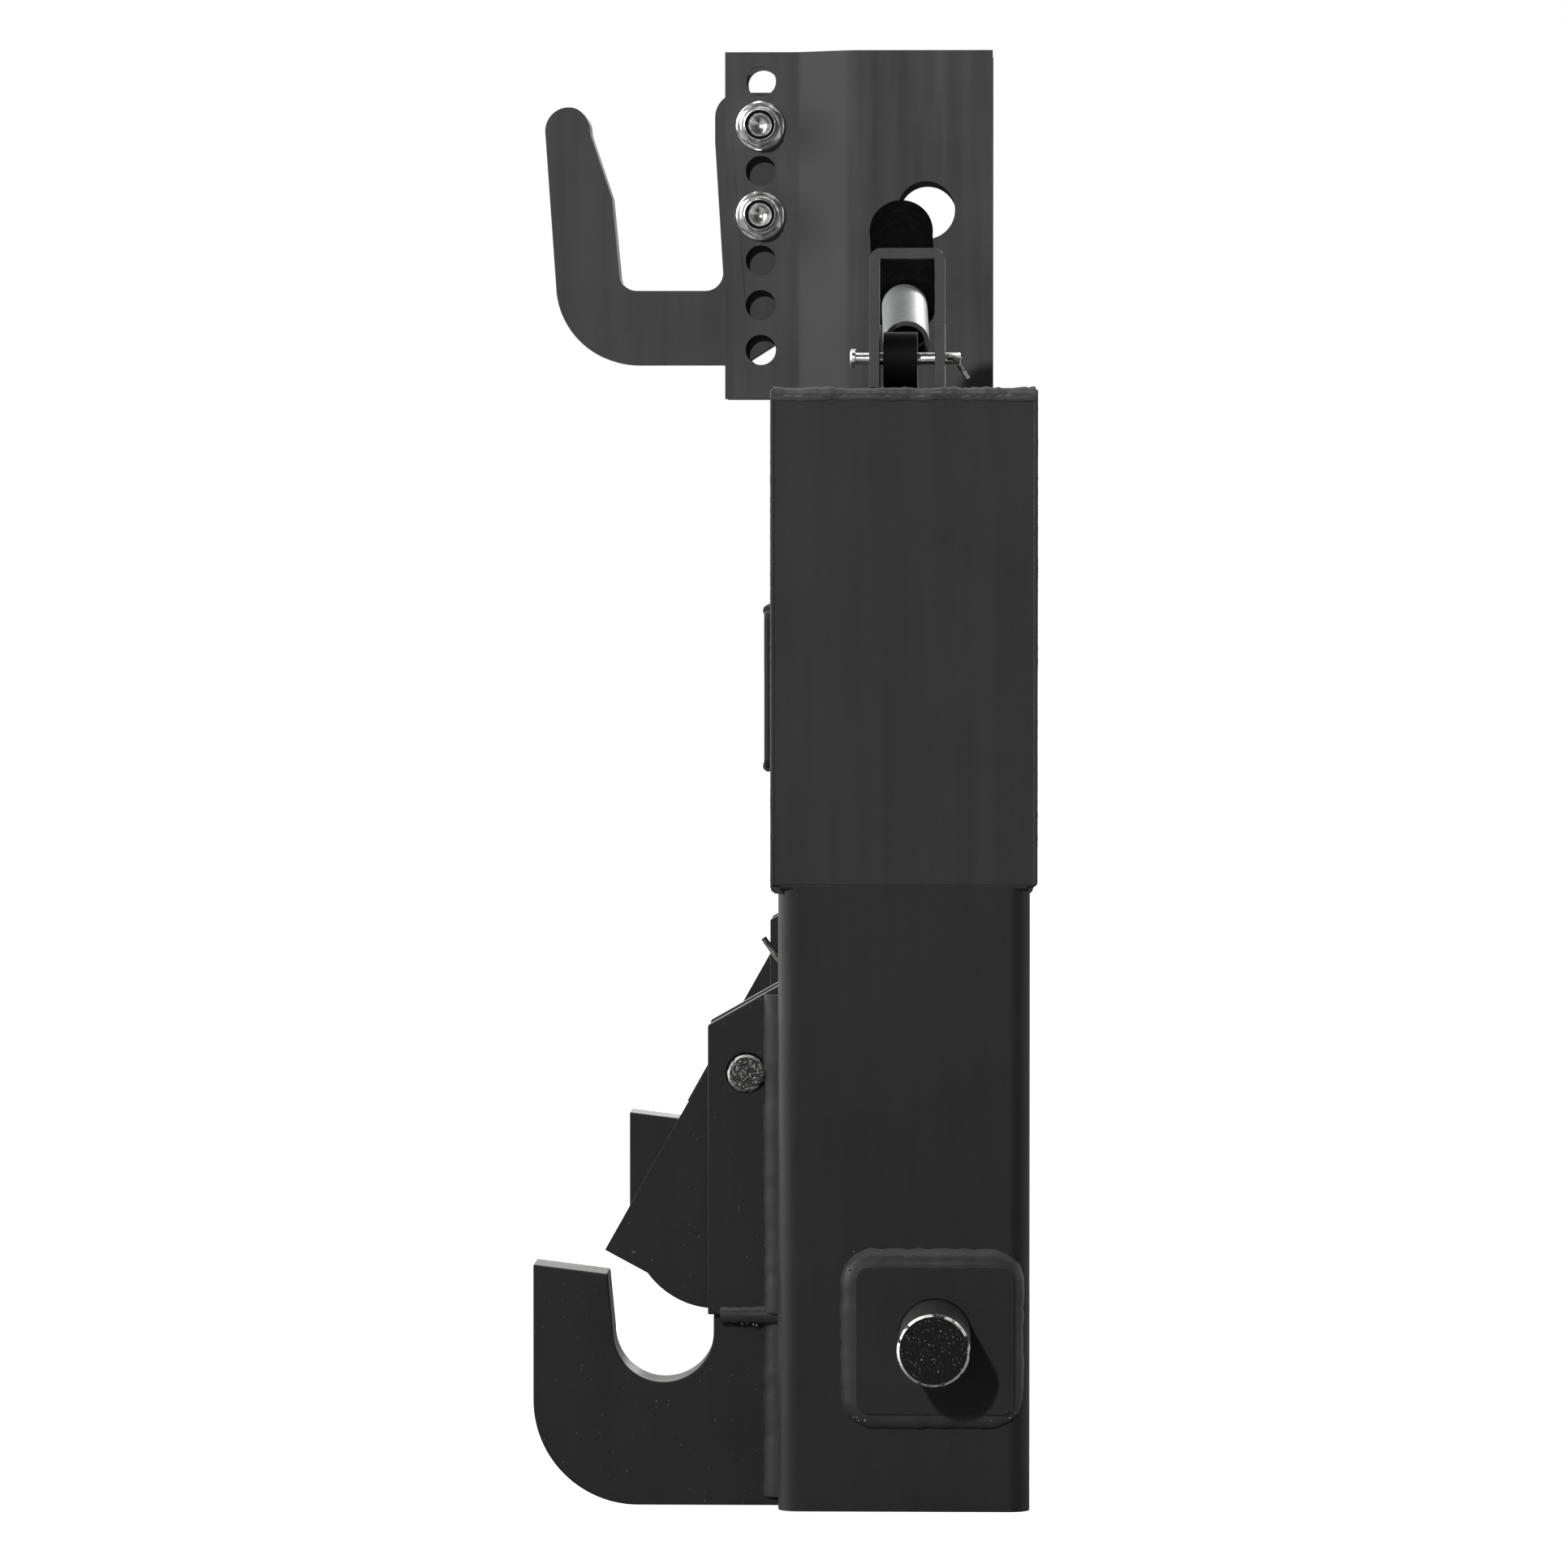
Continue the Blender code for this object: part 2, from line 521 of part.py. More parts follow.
def latch_outline():
    """Latch seen from the side, from its pivot: boss, straight edge, nose arc, heel and arm."""
    arm_angle = -math.degrees(LATCH_ARM_REST)
    eye = (LATCH_ARM * math.cos(LATCH_ARM_REST), -LATCH_ARM * math.sin(LATCH_ARM_REST))
    edge_angle = 180 - math.degrees(LATCH_SWING)
    nose_angle = math.radians(edge_angle) + math.acos(LATCH_EDGE_OFFSET / LATCH_NOSE_RADIUS)
    knee = Vector(LATCH_KNEE) - Vector(LATCH_HEEL_CENTRE)
    knee_angle = math.degrees(math.atan2(knee.y, knee.x)) + 360
    outline = arc((0, 0), LATCH_EDGE_OFFSET, arm_angle + 90, edge_angle, 8)
    outline.append((LATCH_NOSE_RADIUS * math.cos(nose_angle), LATCH_NOSE_RADIUS * math.sin(nose_angle)))
    outline += arc(LATCH_HEEL_CENTRE, LATCH_HEEL_RADIUS, knee_angle, 280, 10)
    waist = math.radians(arm_angle - 75)
    waist_reach = LATCH_NOSE_RADIUS / 2
    outline.append((waist_reach * math.cos(waist), waist_reach * math.sin(waist)))
    root = math.radians(arm_angle)
    throat = (LATCH_EDGE_OFFSET + LATCH_CLEARANCE, -LATCH_ARM_HALF)
    outline.append((throat[0] * math.cos(root) - throat[1] * math.sin(root),
                    throat[0] * math.sin(root) + throat[1] * math.cos(root)))
    outline += arc(eye, LATCH_ARM_HALF, arm_angle - 90, arm_angle + 90, 10)
    return outline


def build_latch(frame, word, side):
    """Latch on its hinge axis, with a round pivot hole and a slotted eye for the pull rod."""
    hinge = empty(f"{word}_latch_axis", frame, (LATCH_PIVOT_X, side * LEG_Y, LATCH_PIVOT_Z))
    half = LATCH_THICKNESS / 2
    latch = piece(f"{word}_latch", extrusion(latch_outline(), "y", -half, half), "hook_paint", hinge)
    bore = circle((0, 0), LATCH_PIN_DIAMETER / 2 + FIT)
    combine(latch, extrusion(bore, "y", -half - OVERCUT, half + OVERCUT))
    eye = (LATCH_ARM * math.cos(LATCH_ARM_REST), -LATCH_ARM * math.sin(LATCH_ARM_REST))
    slot = capsule(eye, LATCH_EYE_PLAY, LATCH_ROD_PIN_DIAMETER / 2 + 2 * FIT, -LATCH_ARM_REST)
    combine(latch, extrusion(slot, "y", -half - OVERCUT, half + OVERCUT))


def build_latch_pin(frame, word, side):
    """Latch pivot pin through both cheeks, with its hairpin on the inner end."""
    holder = empty(f"{word}_latch_pin_place", frame, (LATCH_PIVOT_X, side * LEG_Y, LATCH_PIVOT_Z))
    outer = side * (CHEEK_OUTER + LATCH_PIN_PROUD)
    inner = -side * (CHEEK_OUTER + LATCH_PIN_TAIL)
    profile = chamfered_pin(LATCH_PIN_DIAMETER / 2, *sorted((outer, inner)), 0.001)
    pin = piece(f"{word}_latch_pivot_pin", turned(profile, "y", (0, 0)), "raw_steel", holder)
    plane = -side * (CHEEK_OUTER + LATCH_PIN_TAIL / 2)
    hole_radius = HAIRPIN_WIRE / 2 + FIT
    tilt = HAIRPIN_TILTS[word]
    hole = extrusion(circle((0, 0), hole_radius, 12), "x", -LATCH_PIN_DIAMETER, LATCH_PIN_DIAMETER)
    bmesh.ops.rotate(hole, verts=hole.verts, cent=(0, 0, 0), matrix=Matrix.Rotation(-tilt, 3, "Y"))
    bmesh.ops.translate(hole, verts=hole.verts, vec=(0, plane, 0))
    combine(pin, hole)

    over = LATCH_PIN_DIAMETER / 2 + HAIRPIN_WIRE / 2 + FIT
    bend = over / 2
    loop_end = over + 0.004
    path = [(-HAIRPIN_LENGTH * 0.8, 0.0), (loop_end, 0.0)]
    path += arc((loop_end, bend), bend, -75, 90, 8)
    path += [(loop_end * 0.7, over)]
    path += arc((0, 0), over, 84, 100, 3)
    path += [(-HAIRPIN_LENGTH * 0.3, over + FIT), (-HAIRPIN_LENGTH, over + HAIRPIN_WIRE * 0.4)]
    points = []
    for along, off in path:
        up = -side * off
        points.append((along * math.cos(tilt) - up * math.sin(tilt), plane,
                       along * math.sin(tilt) + up * math.cos(tilt)))
    sweep(f"{word}_latch_hairpin", points, HAIRPIN_WIRE, "zinc", holder)


def build_pull_rod(frame, word, side):
    """Pull rod with a yoke over the latch arm below and a slotted tang above, its pin and its collar."""
    slide = empty(f"{word}_pull_rod_axis", frame, (ROD_X, side * LEG_Y, LATCH_ROD_PIN_Z))
    radius = ROD_DIAMETER / 2
    inner_half = LATCH_THICKNESS / 2 + LATCH_CLEARANCE
    outer_half = inner_half + YOKE_WALL
    yoke_top = YOKE_CLEAR_HEIGHT + YOKE_BRIDGE
    yoke = [(-outer_half, -YOKE_DROP), (-inner_half, -YOKE_DROP), (-inner_half, YOKE_CLEAR_HEIGHT),
            (inner_half, YOKE_CLEAR_HEIGHT), (inner_half, -YOKE_DROP), (outer_half, -YOKE_DROP),
            (outer_half, yoke_top), (-outer_half, yoke_top)]
    rod = piece(f"{word}_pull_rod", extrusion(yoke, "x", -YOKE_WIDTH / 2, YOKE_WIDTH / 2), "raw_steel", slide)
    crank_z = CRANK_PIN_Z - LATCH_ROD_PIN_Z
    eye_radius = CRANK_PIN_DIAMETER / 2 + FIT
    tang_radius = eye_radius + TANG_WALL
    neck = radius - 0.0005
    shank_top = crank_z - 2.5 * tang_radius
    shank = turned([(0, yoke_top - 0.003), (radius, yoke_top - 0.003), (radius, shank_top), (0, shank_top)],
                   "z", (0, 0))
    combine(rod, shank, "UNION")
    tang = [(-neck, shank_top - 0.005), (neck, shank_top - 0.005), (neck, crank_z - tang_radius - 0.003)]
    tang += arc((CRANK_EYE_PLAY, crank_z), tang_radius, -60, 90, 10)
    tang += arc((-CRANK_EYE_PLAY, crank_z), tang_radius, 90, 240, 10)
    tang += [(-neck, crank_z - tang_radius - 0.003)]
    combine(rod, extrusion(tang, "x", -TANG_THICKNESS / 2, TANG_THICKNESS / 2), "UNION")
    slot = capsule((0, crank_z), CRANK_EYE_PLAY, eye_radius)
    combine(rod, extrusion(slot, "x", -TANG_THICKNESS, TANG_THICKNESS))
    bore = circle((0, 0), LATCH_ROD_PIN_DIAMETER / 2 + FIT)
    combine(rod, extrusion(bore, "y", -outer_half - OVERCUT, outer_half + OVERCUT))

    pin_end = outer_half + 0.0015
    profile = chamfered_pin(LATCH_ROD_PIN_DIAMETER / 2, -pin_end, pin_end, 0.0008)
    piece(f"{word}_latch_rod_pin", turned(profile, "y", (0, 0)), "zinc", slide)

    top = COLLAR_TOP - LATCH_ROD_PIN_Z
    rings = (circle((0, 0), COLLAR_DIAMETER / 2), circle((0, 0), radius + FIT))
    piece(f"{word}_spring_collar", pipe(*rings, "z", top - COLLAR_HEIGHT, top), "raw_steel", slide)


def build_spring(frame, word, side):
    """Compression spring round the pull rod, between the collar and the fixed seat."""
    start = SEAT_HEIGHT - FIT - SPRING_WIRE / 2
    rise = SPRING_LENGTH - SPRING_WIRE
    radius = (SPRING_DIAMETER - SPRING_WIRE) / 2
    steps_per_turn = 12
    points = []
    for step in range(SPRING_TURNS * steps_per_turn + 1):
        share = step / (SPRING_TURNS * steps_per_turn)
        angle = math.tau * SPRING_TURNS * share
        points.append((radius * math.cos(angle), radius * math.sin(angle), -rise * share))
    location = (ROD_X, side * LEG_Y, start)
    sweep(f"{word}_return_spring", points, SPRING_WIRE, "spring_steel", frame, location, bevel_steps=1)


def knuckle_outline():
    """Knuckle seen along its hinge, (inward, up) from the pivot: block for the tube and crank arm, level on top."""
    along = Vector((math.cos(LEVER_REST), math.sin(LEVER_REST))) * KNUCKLE_BLOCK
    across = Vector((-math.sin(LEVER_REST), math.cos(LEVER_REST))) * KNUCKLE_RADIUS
    crank = (CRANK_RADIUS * math.cos(CRANK_REST), -CRANK_RADIUS * math.sin(CRANK_REST))
    crank_angle = -math.degrees(CRANK_REST)
    foot = along - across
    end_face = 2 * across
    level_share = (KNUCKLE_RADIUS - foot.y) / end_face.y
    outline = arc((0, 0), KNUCKLE_RADIUS, 90, crank_angle + 270, 10)
    outline += arc(crank, CRANK_EYE_RADIUS, crank_angle - 90, crank_angle + 90, 8)
    outline += [tuple(foot), tuple(foot + end_face * level_share)]
    return outline


def build_lever(frame, word, side):
    """Lever on its hinge axis: forked knuckle, crank pin, tube and grip."""
    hinge = empty(f"{word}_lever_axis", frame, (0, side * LEVER_PIVOT_Y, LEVER_PIVOT_Z))
    outline = [(-side * inward, up) for inward, up in knuckle_outline()]
    low = KNUCKLE_X - KNUCKLE_WIDTH / 2
    high = KNUCKLE_X + KNUCKLE_WIDTH / 2
    knuckle = piece(f"{word}_lever_knuckle", extrusion(outline, "x", low, high), "black_steel", hinge)
    bore = circle((0, 0), PIVOT_PIN_DIAMETER / 2 + FIT)
    combine(knuckle, extrusion(bore, "x", low - OVERCUT, high + OVERCUT))
    crank = (-side * CRANK_RADIUS * math.cos(CRANK_REST), -CRANK_RADIUS * math.sin(CRANK_REST))
    eye = circle(crank, CRANK_PIN_DIAMETER / 2 + FIT)
    combine(knuckle, extrusion(eye, "x", low - OVERCUT, high + OVERCUT))
    fork_half = TANG_THICKNESS / 2 + 2 * FIT
    reach = CRANK_RADIUS + CRANK_EYE_RADIUS + OVERCUT
    fork = box((KNUCKLE_X - fork_half, KNUCKLE_X + fork_half), (FORK_ROOT, reach), (-reach, reach))
    turn = Matrix.Rotation(-CRANK_REST, 3, "X")
    bmesh.ops.rotate(fork, verts=fork.verts, cent=(0, 0, 0), matrix=turn)
    bmesh.ops.scale(fork, verts=fork.verts, vec=(1, -side, 1))
    combine(knuckle, fork)

    pin = chamfered_pin(CRANK_PIN_DIAMETER / 2, low, high, 0.0005)
    piece(f"{word}_crank_pin", turned(pin, "x", crank, SMALL_STEPS), "zinc", hinge)

    tilt = empty(f"{word}_lever_tube_line", hinge)
    tilt.rotation_euler = (-side * LEVER_REST, 0, -side * LEVER_LEAN)
    direction = -side
    start = KNUCKLE_BLOCK + FIT + TUBE_DIAMETER / 2 * math.tan(LEVER_LEAN)
    end = LEVER_LENGTH - GRIP_END - FIT
    rings = (circle((TUBE_X, 0), TUBE_DIAMETER / 2), circle((TUBE_X, 0), TUBE_DIAMETER / 2 - TUBE_WALL))
    tube = pipe(*rings, "y", *sorted((direction * start, direction * end)))
    piece(f"{word}_lever_tube", tube, "zinc", tilt)

    near = LEVER_LENGTH - GRIP_LENGTH
    inner = TUBE_DIAMETER / 2 + FIT
    outer = GRIP_DIAMETER / 2
    profile = [(0, end + FIT), (inner, end + FIT), (inner, near), (outer - 0.002, near)]
    profile += [(outer, near + 0.002)]
    profile += [(outer - 0.004 + x, LEVER_LENGTH - 0.004 + y) for x, y in arc((0, 0), 0.004, 0, 90)]
    profile += [(0, LEVER_LENGTH)]
    profile = [(radius, direction * along) for radius, along in profile]
    piece(f"{word}_lever_grip", turned(profile, "y", (TUBE_X, 0)), "rubber", tilt)


def strap_inner_offset():
    """How far outward of the pivot the loop's bar starts, so that the raised tube rests on it."""
    raised = LEVER_REST + LEVER_SWING
    height = BRACKET_TOP - BRACKET_WALL - LEVER_PIVOT_Z
    return TUBE_DIAMETER / 2 / math.sin(raised) - height / math.tan(raised) + STOP_GAP


def build_lever_bracket(frame, word, side):
    """Bent strap: wide ears for the pivot pin and a narrower loop that stops the raised lever."""
    holder = empty(f"{word}_lever_bracket_place", frame, (0, side * LEVER_PIVOT_Y, 0))
    half = BRACKET_WIDTH / 2
    bottom = BEAM_TOP + FIT
    bend = BRACKET_BEND
    outline = [(BRACKET_X + half, bottom)]
    outline += arc((BRACKET_X + half - bend, BRACKET_TOP - bend), bend, 0, 90)
    outline += arc((BRACKET_X - half + bend, BRACKET_TOP - bend), bend, 90, 180)
    outline += [(BRACKET_X - half, bottom), (BRACKET_X - half + BRACKET_WALL, bottom)]
    fillet = bend - BRACKET_WALL
    outline += arc((BRACKET_X - half + bend, BRACKET_TOP - bend), fillet, 180, 90)
    outline += arc((BRACKET_X + half - bend, BRACKET_TOP - bend), fillet, 90, 0)
    outline += [(BRACKET_X + half - BRACKET_WALL, bottom)]
    ear = EAR_LENGTH / 2
    bracket = extrusion(outline, "y", -ear, ear)
    strap = piece(f"{word}_lever_bracket", bracket, "black_steel", holder)
    strap_inner = strap_inner_offset()
    across = (BRACKET_X - half - OVERCUT, BRACKET_X + half + OVERCUT)
    above = (EAR_TOP, BRACKET_TOP + OVERCUT)
    inward = sorted((-side * (ear + OVERCUT), side * strap_inner))
    outward = sorted((side * (strap_inner + STRAP_LENGTH), side * (ear + OVERCUT)))
    combine(strap, box(across, inward, above))
    combine(strap, box(across, outward, above))
    bore = circle((0, LEVER_PIVOT_Z), PIVOT_PIN_DIAMETER / 2 + FIT)
    combine(strap, extrusion(bore, "x", *across))


def build_pivot_pin(frame, word, side):
    """Lever's clevis pin with its cotter on the tractor side."""
    holder = empty(f"{word}_pivot_pin_place", frame, (0, side * LEVER_PIVOT_Y, LEVER_PIVOT_Z))
    radius = PIVOT_PIN_DIAMETER / 2
    head = PIVOT_PIN_LEFT + PIVOT_HEAD_THICKNESS
    profile = [(0, PIVOT_PIN_LEFT), (PIVOT_PIN_HEAD / 2 - 0.0005, PIVOT_PIN_LEFT),
               (PIVOT_PIN_HEAD / 2, PIVOT_PIN_LEFT + 0.0005), (PIVOT_PIN_HEAD / 2, head), (radius, head),
               (radius, PIVOT_PIN_RIGHT - 0.0006), (radius - 0.0006, PIVOT_PIN_RIGHT), (0, PIVOT_PIN_RIGHT)]
    pin = piece(f"{word}_lever_pivot_pin", turned(profile, "x", (0, 0), SMALL_STEPS), "zinc", holder)
    cotter_x = PIVOT_PIN_RIGHT - 0.0025
    hole = circle((cotter_x, 0), COTTER_WIRE / 2 + FIT, 10)
    combine(pin, extrusion(hole, "y", -PIVOT_PIN_DIAMETER, PIVOT_PIN_DIAMETER))
    eye = COTTER_EYE_RADIUS
    path = [(-eye, radius + eye * 0.9)]
    path += arc((0, radius + eye * 1.6), eye, 200, -60, 10)
    path += [(0, radius + COTTER_WIRE * 0.3), (0, -radius - COTTER_WIRE * 0.6)]
    points = [(cotter_x + across, side * out, 0) for across, out in path]
    points.append((cotter_x + COTTER_DROP * 0.7, -side * (radius + COTTER_WIRE), -COTTER_DROP))
    sweep(f"{word}_lever_cotter", points, COTTER_WIRE, "zinc", holder)


def build_lift_pin(frame, word, side):
    """Lower link pin through its square plate and the leg's outer wall."""
    plate_low = BEAM_END_Y + FIT
    plate_high = plate_low + PIN_PLATE_THICKNESS
    centre = (LIFT_PIN_X, LIFT_PIN_Z - PIN_PLATE_DROP)
    outline = rounded(centre, PIN_PLATE_WIDTH, PIN_PLATE_HEIGHT, PIN_PLATE_CORNER)
    ends = sorted((side * plate_low, side * plate_high))
    plate = piece(f"{word}_lift_pin_plate", extrusion(outline, "y", *ends), "frame_paint", frame)
    hole = circle((LIFT_PIN_X, LIFT_PIN_Z), LIFT_PIN_DIAMETER / 2 + FIT, 32)
    combine(plate, extrusion(hole, "y", ends[0] - OVERCUT, ends[1] + OVERCUT))

    root = BEAM_END_Y - LEG_WALL
    profile = chamfered_pin(LIFT_PIN_DIAMETER / 2, root, LIFT_PIN_END_Y, LIFT_PIN_CHAMFER)
    profile = [(radius, side * along) for radius, along in profile]
    pin = piece(f"{word}_lift_pin", turned(profile, "y", (LIFT_PIN_X, LIFT_PIN_Z), 32), "raw_steel", frame)
    linch = circle((LIFT_PIN_X, side * (LIFT_PIN_END_Y - LINCH_HOLE_INSET)), LINCH_HOLE / 2, 16)
    reach = LIFT_PIN_DIAMETER
    combine(pin, extrusion(linch, "z", LIFT_PIN_Z - reach, LIFT_PIN_Z + reach))


def joggled_plan():
    """Plan of a joggled plate, y outward: narrow leaf, slope and wide leaf with round bends."""
    narrow = TOWER_NARROW_GAP / 2
    wide = TOWER_WIDE_GAP / 2
    slope = math.degrees(math.atan2(wide - narrow, TOWER_BEND_END_X - TOWER_BEND_START_X))
    small = TOWER_BEND_RADIUS
    large = TOWER_BEND_RADIUS + TOWER_THICKNESS
    setback = math.tan(math.radians(slope / 2))
    first = (TOWER_BEND_START_X - large * setback, narrow + large)
    second = (TOWER_BEND_END_X + (small - TOWER_THICKNESS) * setback, wide - small)
    inner = [(TOWER_FRONT_X, narrow)]
    inner += arc(first, large, 270, 270 + slope, 4)
    inner += arc(second, small, 90 + slope, 90, 4)
    inner += [(TOWER_BACK_X, wide)]
    outer = [(TOWER_FRONT_X, narrow + TOWER_THICKNESS)]
    outer += arc(first, small, 270, 270 + slope, 4)
    outer += arc(second, large, 90 + slope, 90, 4)
    outer += [(TOWER_BACK_X, wide + TOWER_THICKNESS)]
    return inner + outer[::-1]


def build_tower_plate(frame, word, side):
    """Joggled plate on the crossbeam with the adjusting holes and the top link hole."""
    plan = [(x, side * y) for x, y in joggled_plan()]
    plate = piece(f"{word}_tower_plate", extrusion(plan, "z", TOWER_BOTTOM, TOWER_TOP), "tower_paint", frame)
    through = sorted((side * (TOWER_NARROW_GAP / 2 - OVERCUT), side * (NARROW_OUTER_Y + OVERCUT)))
    for height in ADJUST_HEIGHTS:
        hole = circle((ADJUST_COLUMN_X, height), ADJUST_HOLE / 2)
        combine(plate, extrusion(hole, "y", *through))
    through = sorted((side * (TOWER_WIDE_GAP / 2 - OVERCUT), side * (WIDE_OUTER_Y + OVERCUT)))
    hole = circle((TOP_LINK_X, TOP_LINK_Z), TOP_LINK_HOLE / 2, 32)
    combine(plate, extrusion(hole, "y", *through))


def top_hook_outline():
    """J-shaped top hook: tip, mouth, flat seat, shank with round head, chamfer and round outer corner."""
    tip = (TOP_HOOK_FRONT_X + TOP_HOOK_TIP_RADIUS, TOP_HOOK_TIP_TOP_Z - TOP_HOOK_TIP_RADIUS)
    seat = TOP_HOOK_SEAT_RADIUS
    left_corner = (TOP_HOOK_FLOOR_LEFT_X, TOP_HOOK_SEAT_Z + seat)
    right_corner = (TOP_HOOK_FLOOR_RIGHT_X, TOP_HOOK_SEAT_Z + seat)
    mouth_right = TOP_HOOK_FLOOR_RIGHT_X + seat
    shank_left = mouth_right - TOP_HOOK_MOUTH_LEAN
    head = TOP_HOOK_HEAD_RADIUS
    outer = TOP_HOOK_OUTER_RADIUS
    corner = (TOP_HOOK_FLOOR_LEFT_X, TOP_HOOK_BOTTOM_Z + outer)
    rise = TOP_HOOK_TIP_TOP_Z - TOP_HOOK_SEAT_Z
    outline = arc(tip, TOP_HOOK_TIP_RADIUS, 180, -15, 14)
    outline += [(TOP_HOOK_FLOOR_LEFT_X - seat - 0.0026, TOP_HOOK_SEAT_Z + rise * 0.52)]
    outline += arc(left_corner, seat, 180, 270, 6)
    outline += arc(right_corner, seat, 270, 360, 6)
    outline += [(shank_left, TOP_HOOK_HEAD_TOP_Z - 2 * head)]
    outline += arc((shank_left + head, TOP_HOOK_HEAD_TOP_Z - head), head, 180, 90, 6)
    outline += arc((TOP_HOOK_BACK_X - head, TOP_HOOK_HEAD_TOP_Z - head), head, 90, 0, 6)
    outline += [(TOP_HOOK_BACK_X, TOP_HOOK_BOTTOM_Z + TOP_HOOK_CHAMFER_HEIGHT),
                (TOP_HOOK_BACK_X - TOP_HOOK_CHAMFER_WIDTH, TOP_HOOK_BOTTOM_Z)]
    outline += arc(corner, outer, 270, 180, 12)
    return outline


def build_top_hook(frame):
    """Top hook between the tower plates, held by two bolts through the adjusting holes."""
    half = TOP_HOOK_THICKNESS / 2
    hook = piece("top_hook", extrusion(top_hook_outline(), "y", -half, half), "hook_paint", frame)
    for word, height in (("lower", LOWER_BOLT_Z), ("upper", UPPER_BOLT_Z)):
        centre = (ADJUST_COLUMN_X, height)
        hole = circle(centre, ADJUST_HOLE / 2)
        combine(hook, extrusion(hole, "y", -half - OVERCUT, half + OVERCUT))
        build_top_hook_bolt(frame, word, centre)


def build_top_hook_bolt(frame, word, centre):
    """One bolt from the left, a washer on each side and the lock nut on the right."""
    face = NARROW_OUTER_Y + FIT
    for side_word, side in SIDES:
        rings = (circle(centre, WASHER_DIAMETER / 2), circle(centre, BOLT_DIAMETER / 2 + FIT))
        ends = sorted((side * face, side * (face + WASHER_THICKNESS)))
        piece(f"{side_word}_{word}_bolt_washer", pipe(*rings, "y", *ends), "zinc", frame)
    outer = face + WASHER_THICKNESS + FIT
    nut_face = outer + NUT_HEIGHT
    nut_end = nut_face + NUT_COLLAR_HEIGHT
    head = extrusion(hexagon(centre, NUT_FLATS), "y", outer, outer + BOLT_HEAD_HEIGHT)
    bolt = piece(f"{word}_hook_bolt", head, "zinc", frame)
    radius = BOLT_DIAMETER / 2
    end = -(nut_end - BOLT_END_SINK)
    shank = [(0, outer + 0.002), (radius, outer + 0.002), (radius, end + 0.001), (radius - 0.001, end), (0, end)]
    combine(bolt, turned(shank, "y", centre), "UNION")

    nut = piece(f"{word}_hook_nut", extrusion(hexagon(centre, NUT_FLATS), "y", -nut_face, -outer), "zinc", frame)
    collar = NUT_COLLAR_DIAMETER / 2
    dome = [(0, -nut_face + 0.002), (collar, -nut_face + 0.002), (collar, -nut_end + 0.001),
            (collar - 0.001, -nut_end), (0, -nut_end)]
    combine(nut, turned(dome, "y", centre), "UNION")
    bore = circle(centre, radius + FIT)
    combine(nut, extrusion(bore, "y", -nut_end - OVERCUT, -outer + OVERCUT))


def build_side(frame, word, side):
    """Everything that each end of the hitch has."""
    build_beam_end(frame, word, side)
    build_leg(frame, word, side)
    build_lower_hook(frame, word, side)
    build_latch(frame, word, side)
    build_latch_pin(frame, word, side)
    build_pull_rod(frame, word, side)
    build_spring(frame, word, side)
    build_lever_bracket(frame, word, side)
    build_lever(frame, word, side)
    build_pivot_pin(frame, word, side)
    build_lift_pin(frame, word, side)
    build_tower_plate(frame, word, side)


def main():
    """Build the whole hitch on one empty."""
    clear_scene()
    frame = empty("hitch_frame", location=(-ORIGIN_X, 0, 0))
    build_crossbeam(frame)
    for word, side in SIDES:
        build_side(frame, word, side)
    build_top_hook(frame)
    bpy.context.view_layer.update()


main()
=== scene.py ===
"""Looks of a three point quick hitch: finishes, worn edges, welds, hardware, studio and camera.

Metres, +Z up. +X points to the tractor, the hooks open on the -X side, and the near leg is the right one.
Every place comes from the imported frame, so a piece sits where the CAD solids are.
"""

import json
import logging
import math
import random
from collections.abc import Callable
from dataclasses import dataclass
from enum import Enum

import bmesh
import bpy
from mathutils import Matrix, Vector


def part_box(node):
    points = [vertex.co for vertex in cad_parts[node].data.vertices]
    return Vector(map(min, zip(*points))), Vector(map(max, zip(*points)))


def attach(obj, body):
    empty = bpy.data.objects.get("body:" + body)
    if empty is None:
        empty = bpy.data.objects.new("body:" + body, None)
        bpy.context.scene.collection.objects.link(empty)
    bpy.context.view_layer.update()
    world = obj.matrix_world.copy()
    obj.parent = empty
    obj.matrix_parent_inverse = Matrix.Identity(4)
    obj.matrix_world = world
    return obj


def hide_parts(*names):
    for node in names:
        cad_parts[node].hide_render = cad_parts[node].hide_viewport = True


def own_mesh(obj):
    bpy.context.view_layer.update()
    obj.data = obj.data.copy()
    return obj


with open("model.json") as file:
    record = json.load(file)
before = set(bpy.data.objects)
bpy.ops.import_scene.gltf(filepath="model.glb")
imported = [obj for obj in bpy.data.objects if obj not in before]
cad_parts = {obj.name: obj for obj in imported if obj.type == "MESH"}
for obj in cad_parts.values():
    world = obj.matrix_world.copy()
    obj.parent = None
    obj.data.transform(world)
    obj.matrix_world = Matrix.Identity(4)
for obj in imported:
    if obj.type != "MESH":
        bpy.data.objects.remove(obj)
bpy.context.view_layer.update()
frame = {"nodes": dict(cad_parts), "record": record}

PHOTO_PIXELS = 1932
MILLIMETRE = 0.001
LOG = logging.getLogger("quick_hitch")

Colour = tuple[float, float, float, float]
NodeTree = bpy.types.NodeTree
Object = bpy.types.Object
Socket = bpy.types.NodeSocket


class Side(Enum):
    """The two ends of the crossbeam, with the direction in Y that points outwards there."""

    RIGHT = -1
    LEFT = 1

    @property
    def word(self) -> str:
        """Name of the side in the frame's node names."""
        return self.name.lower()

    def faces(self, node: str) -> list[float]:
        """Y of a CAD node's outer and inner face."""
        return [corner.y for corner in span(node)][::-self.value]


# Reading the frame


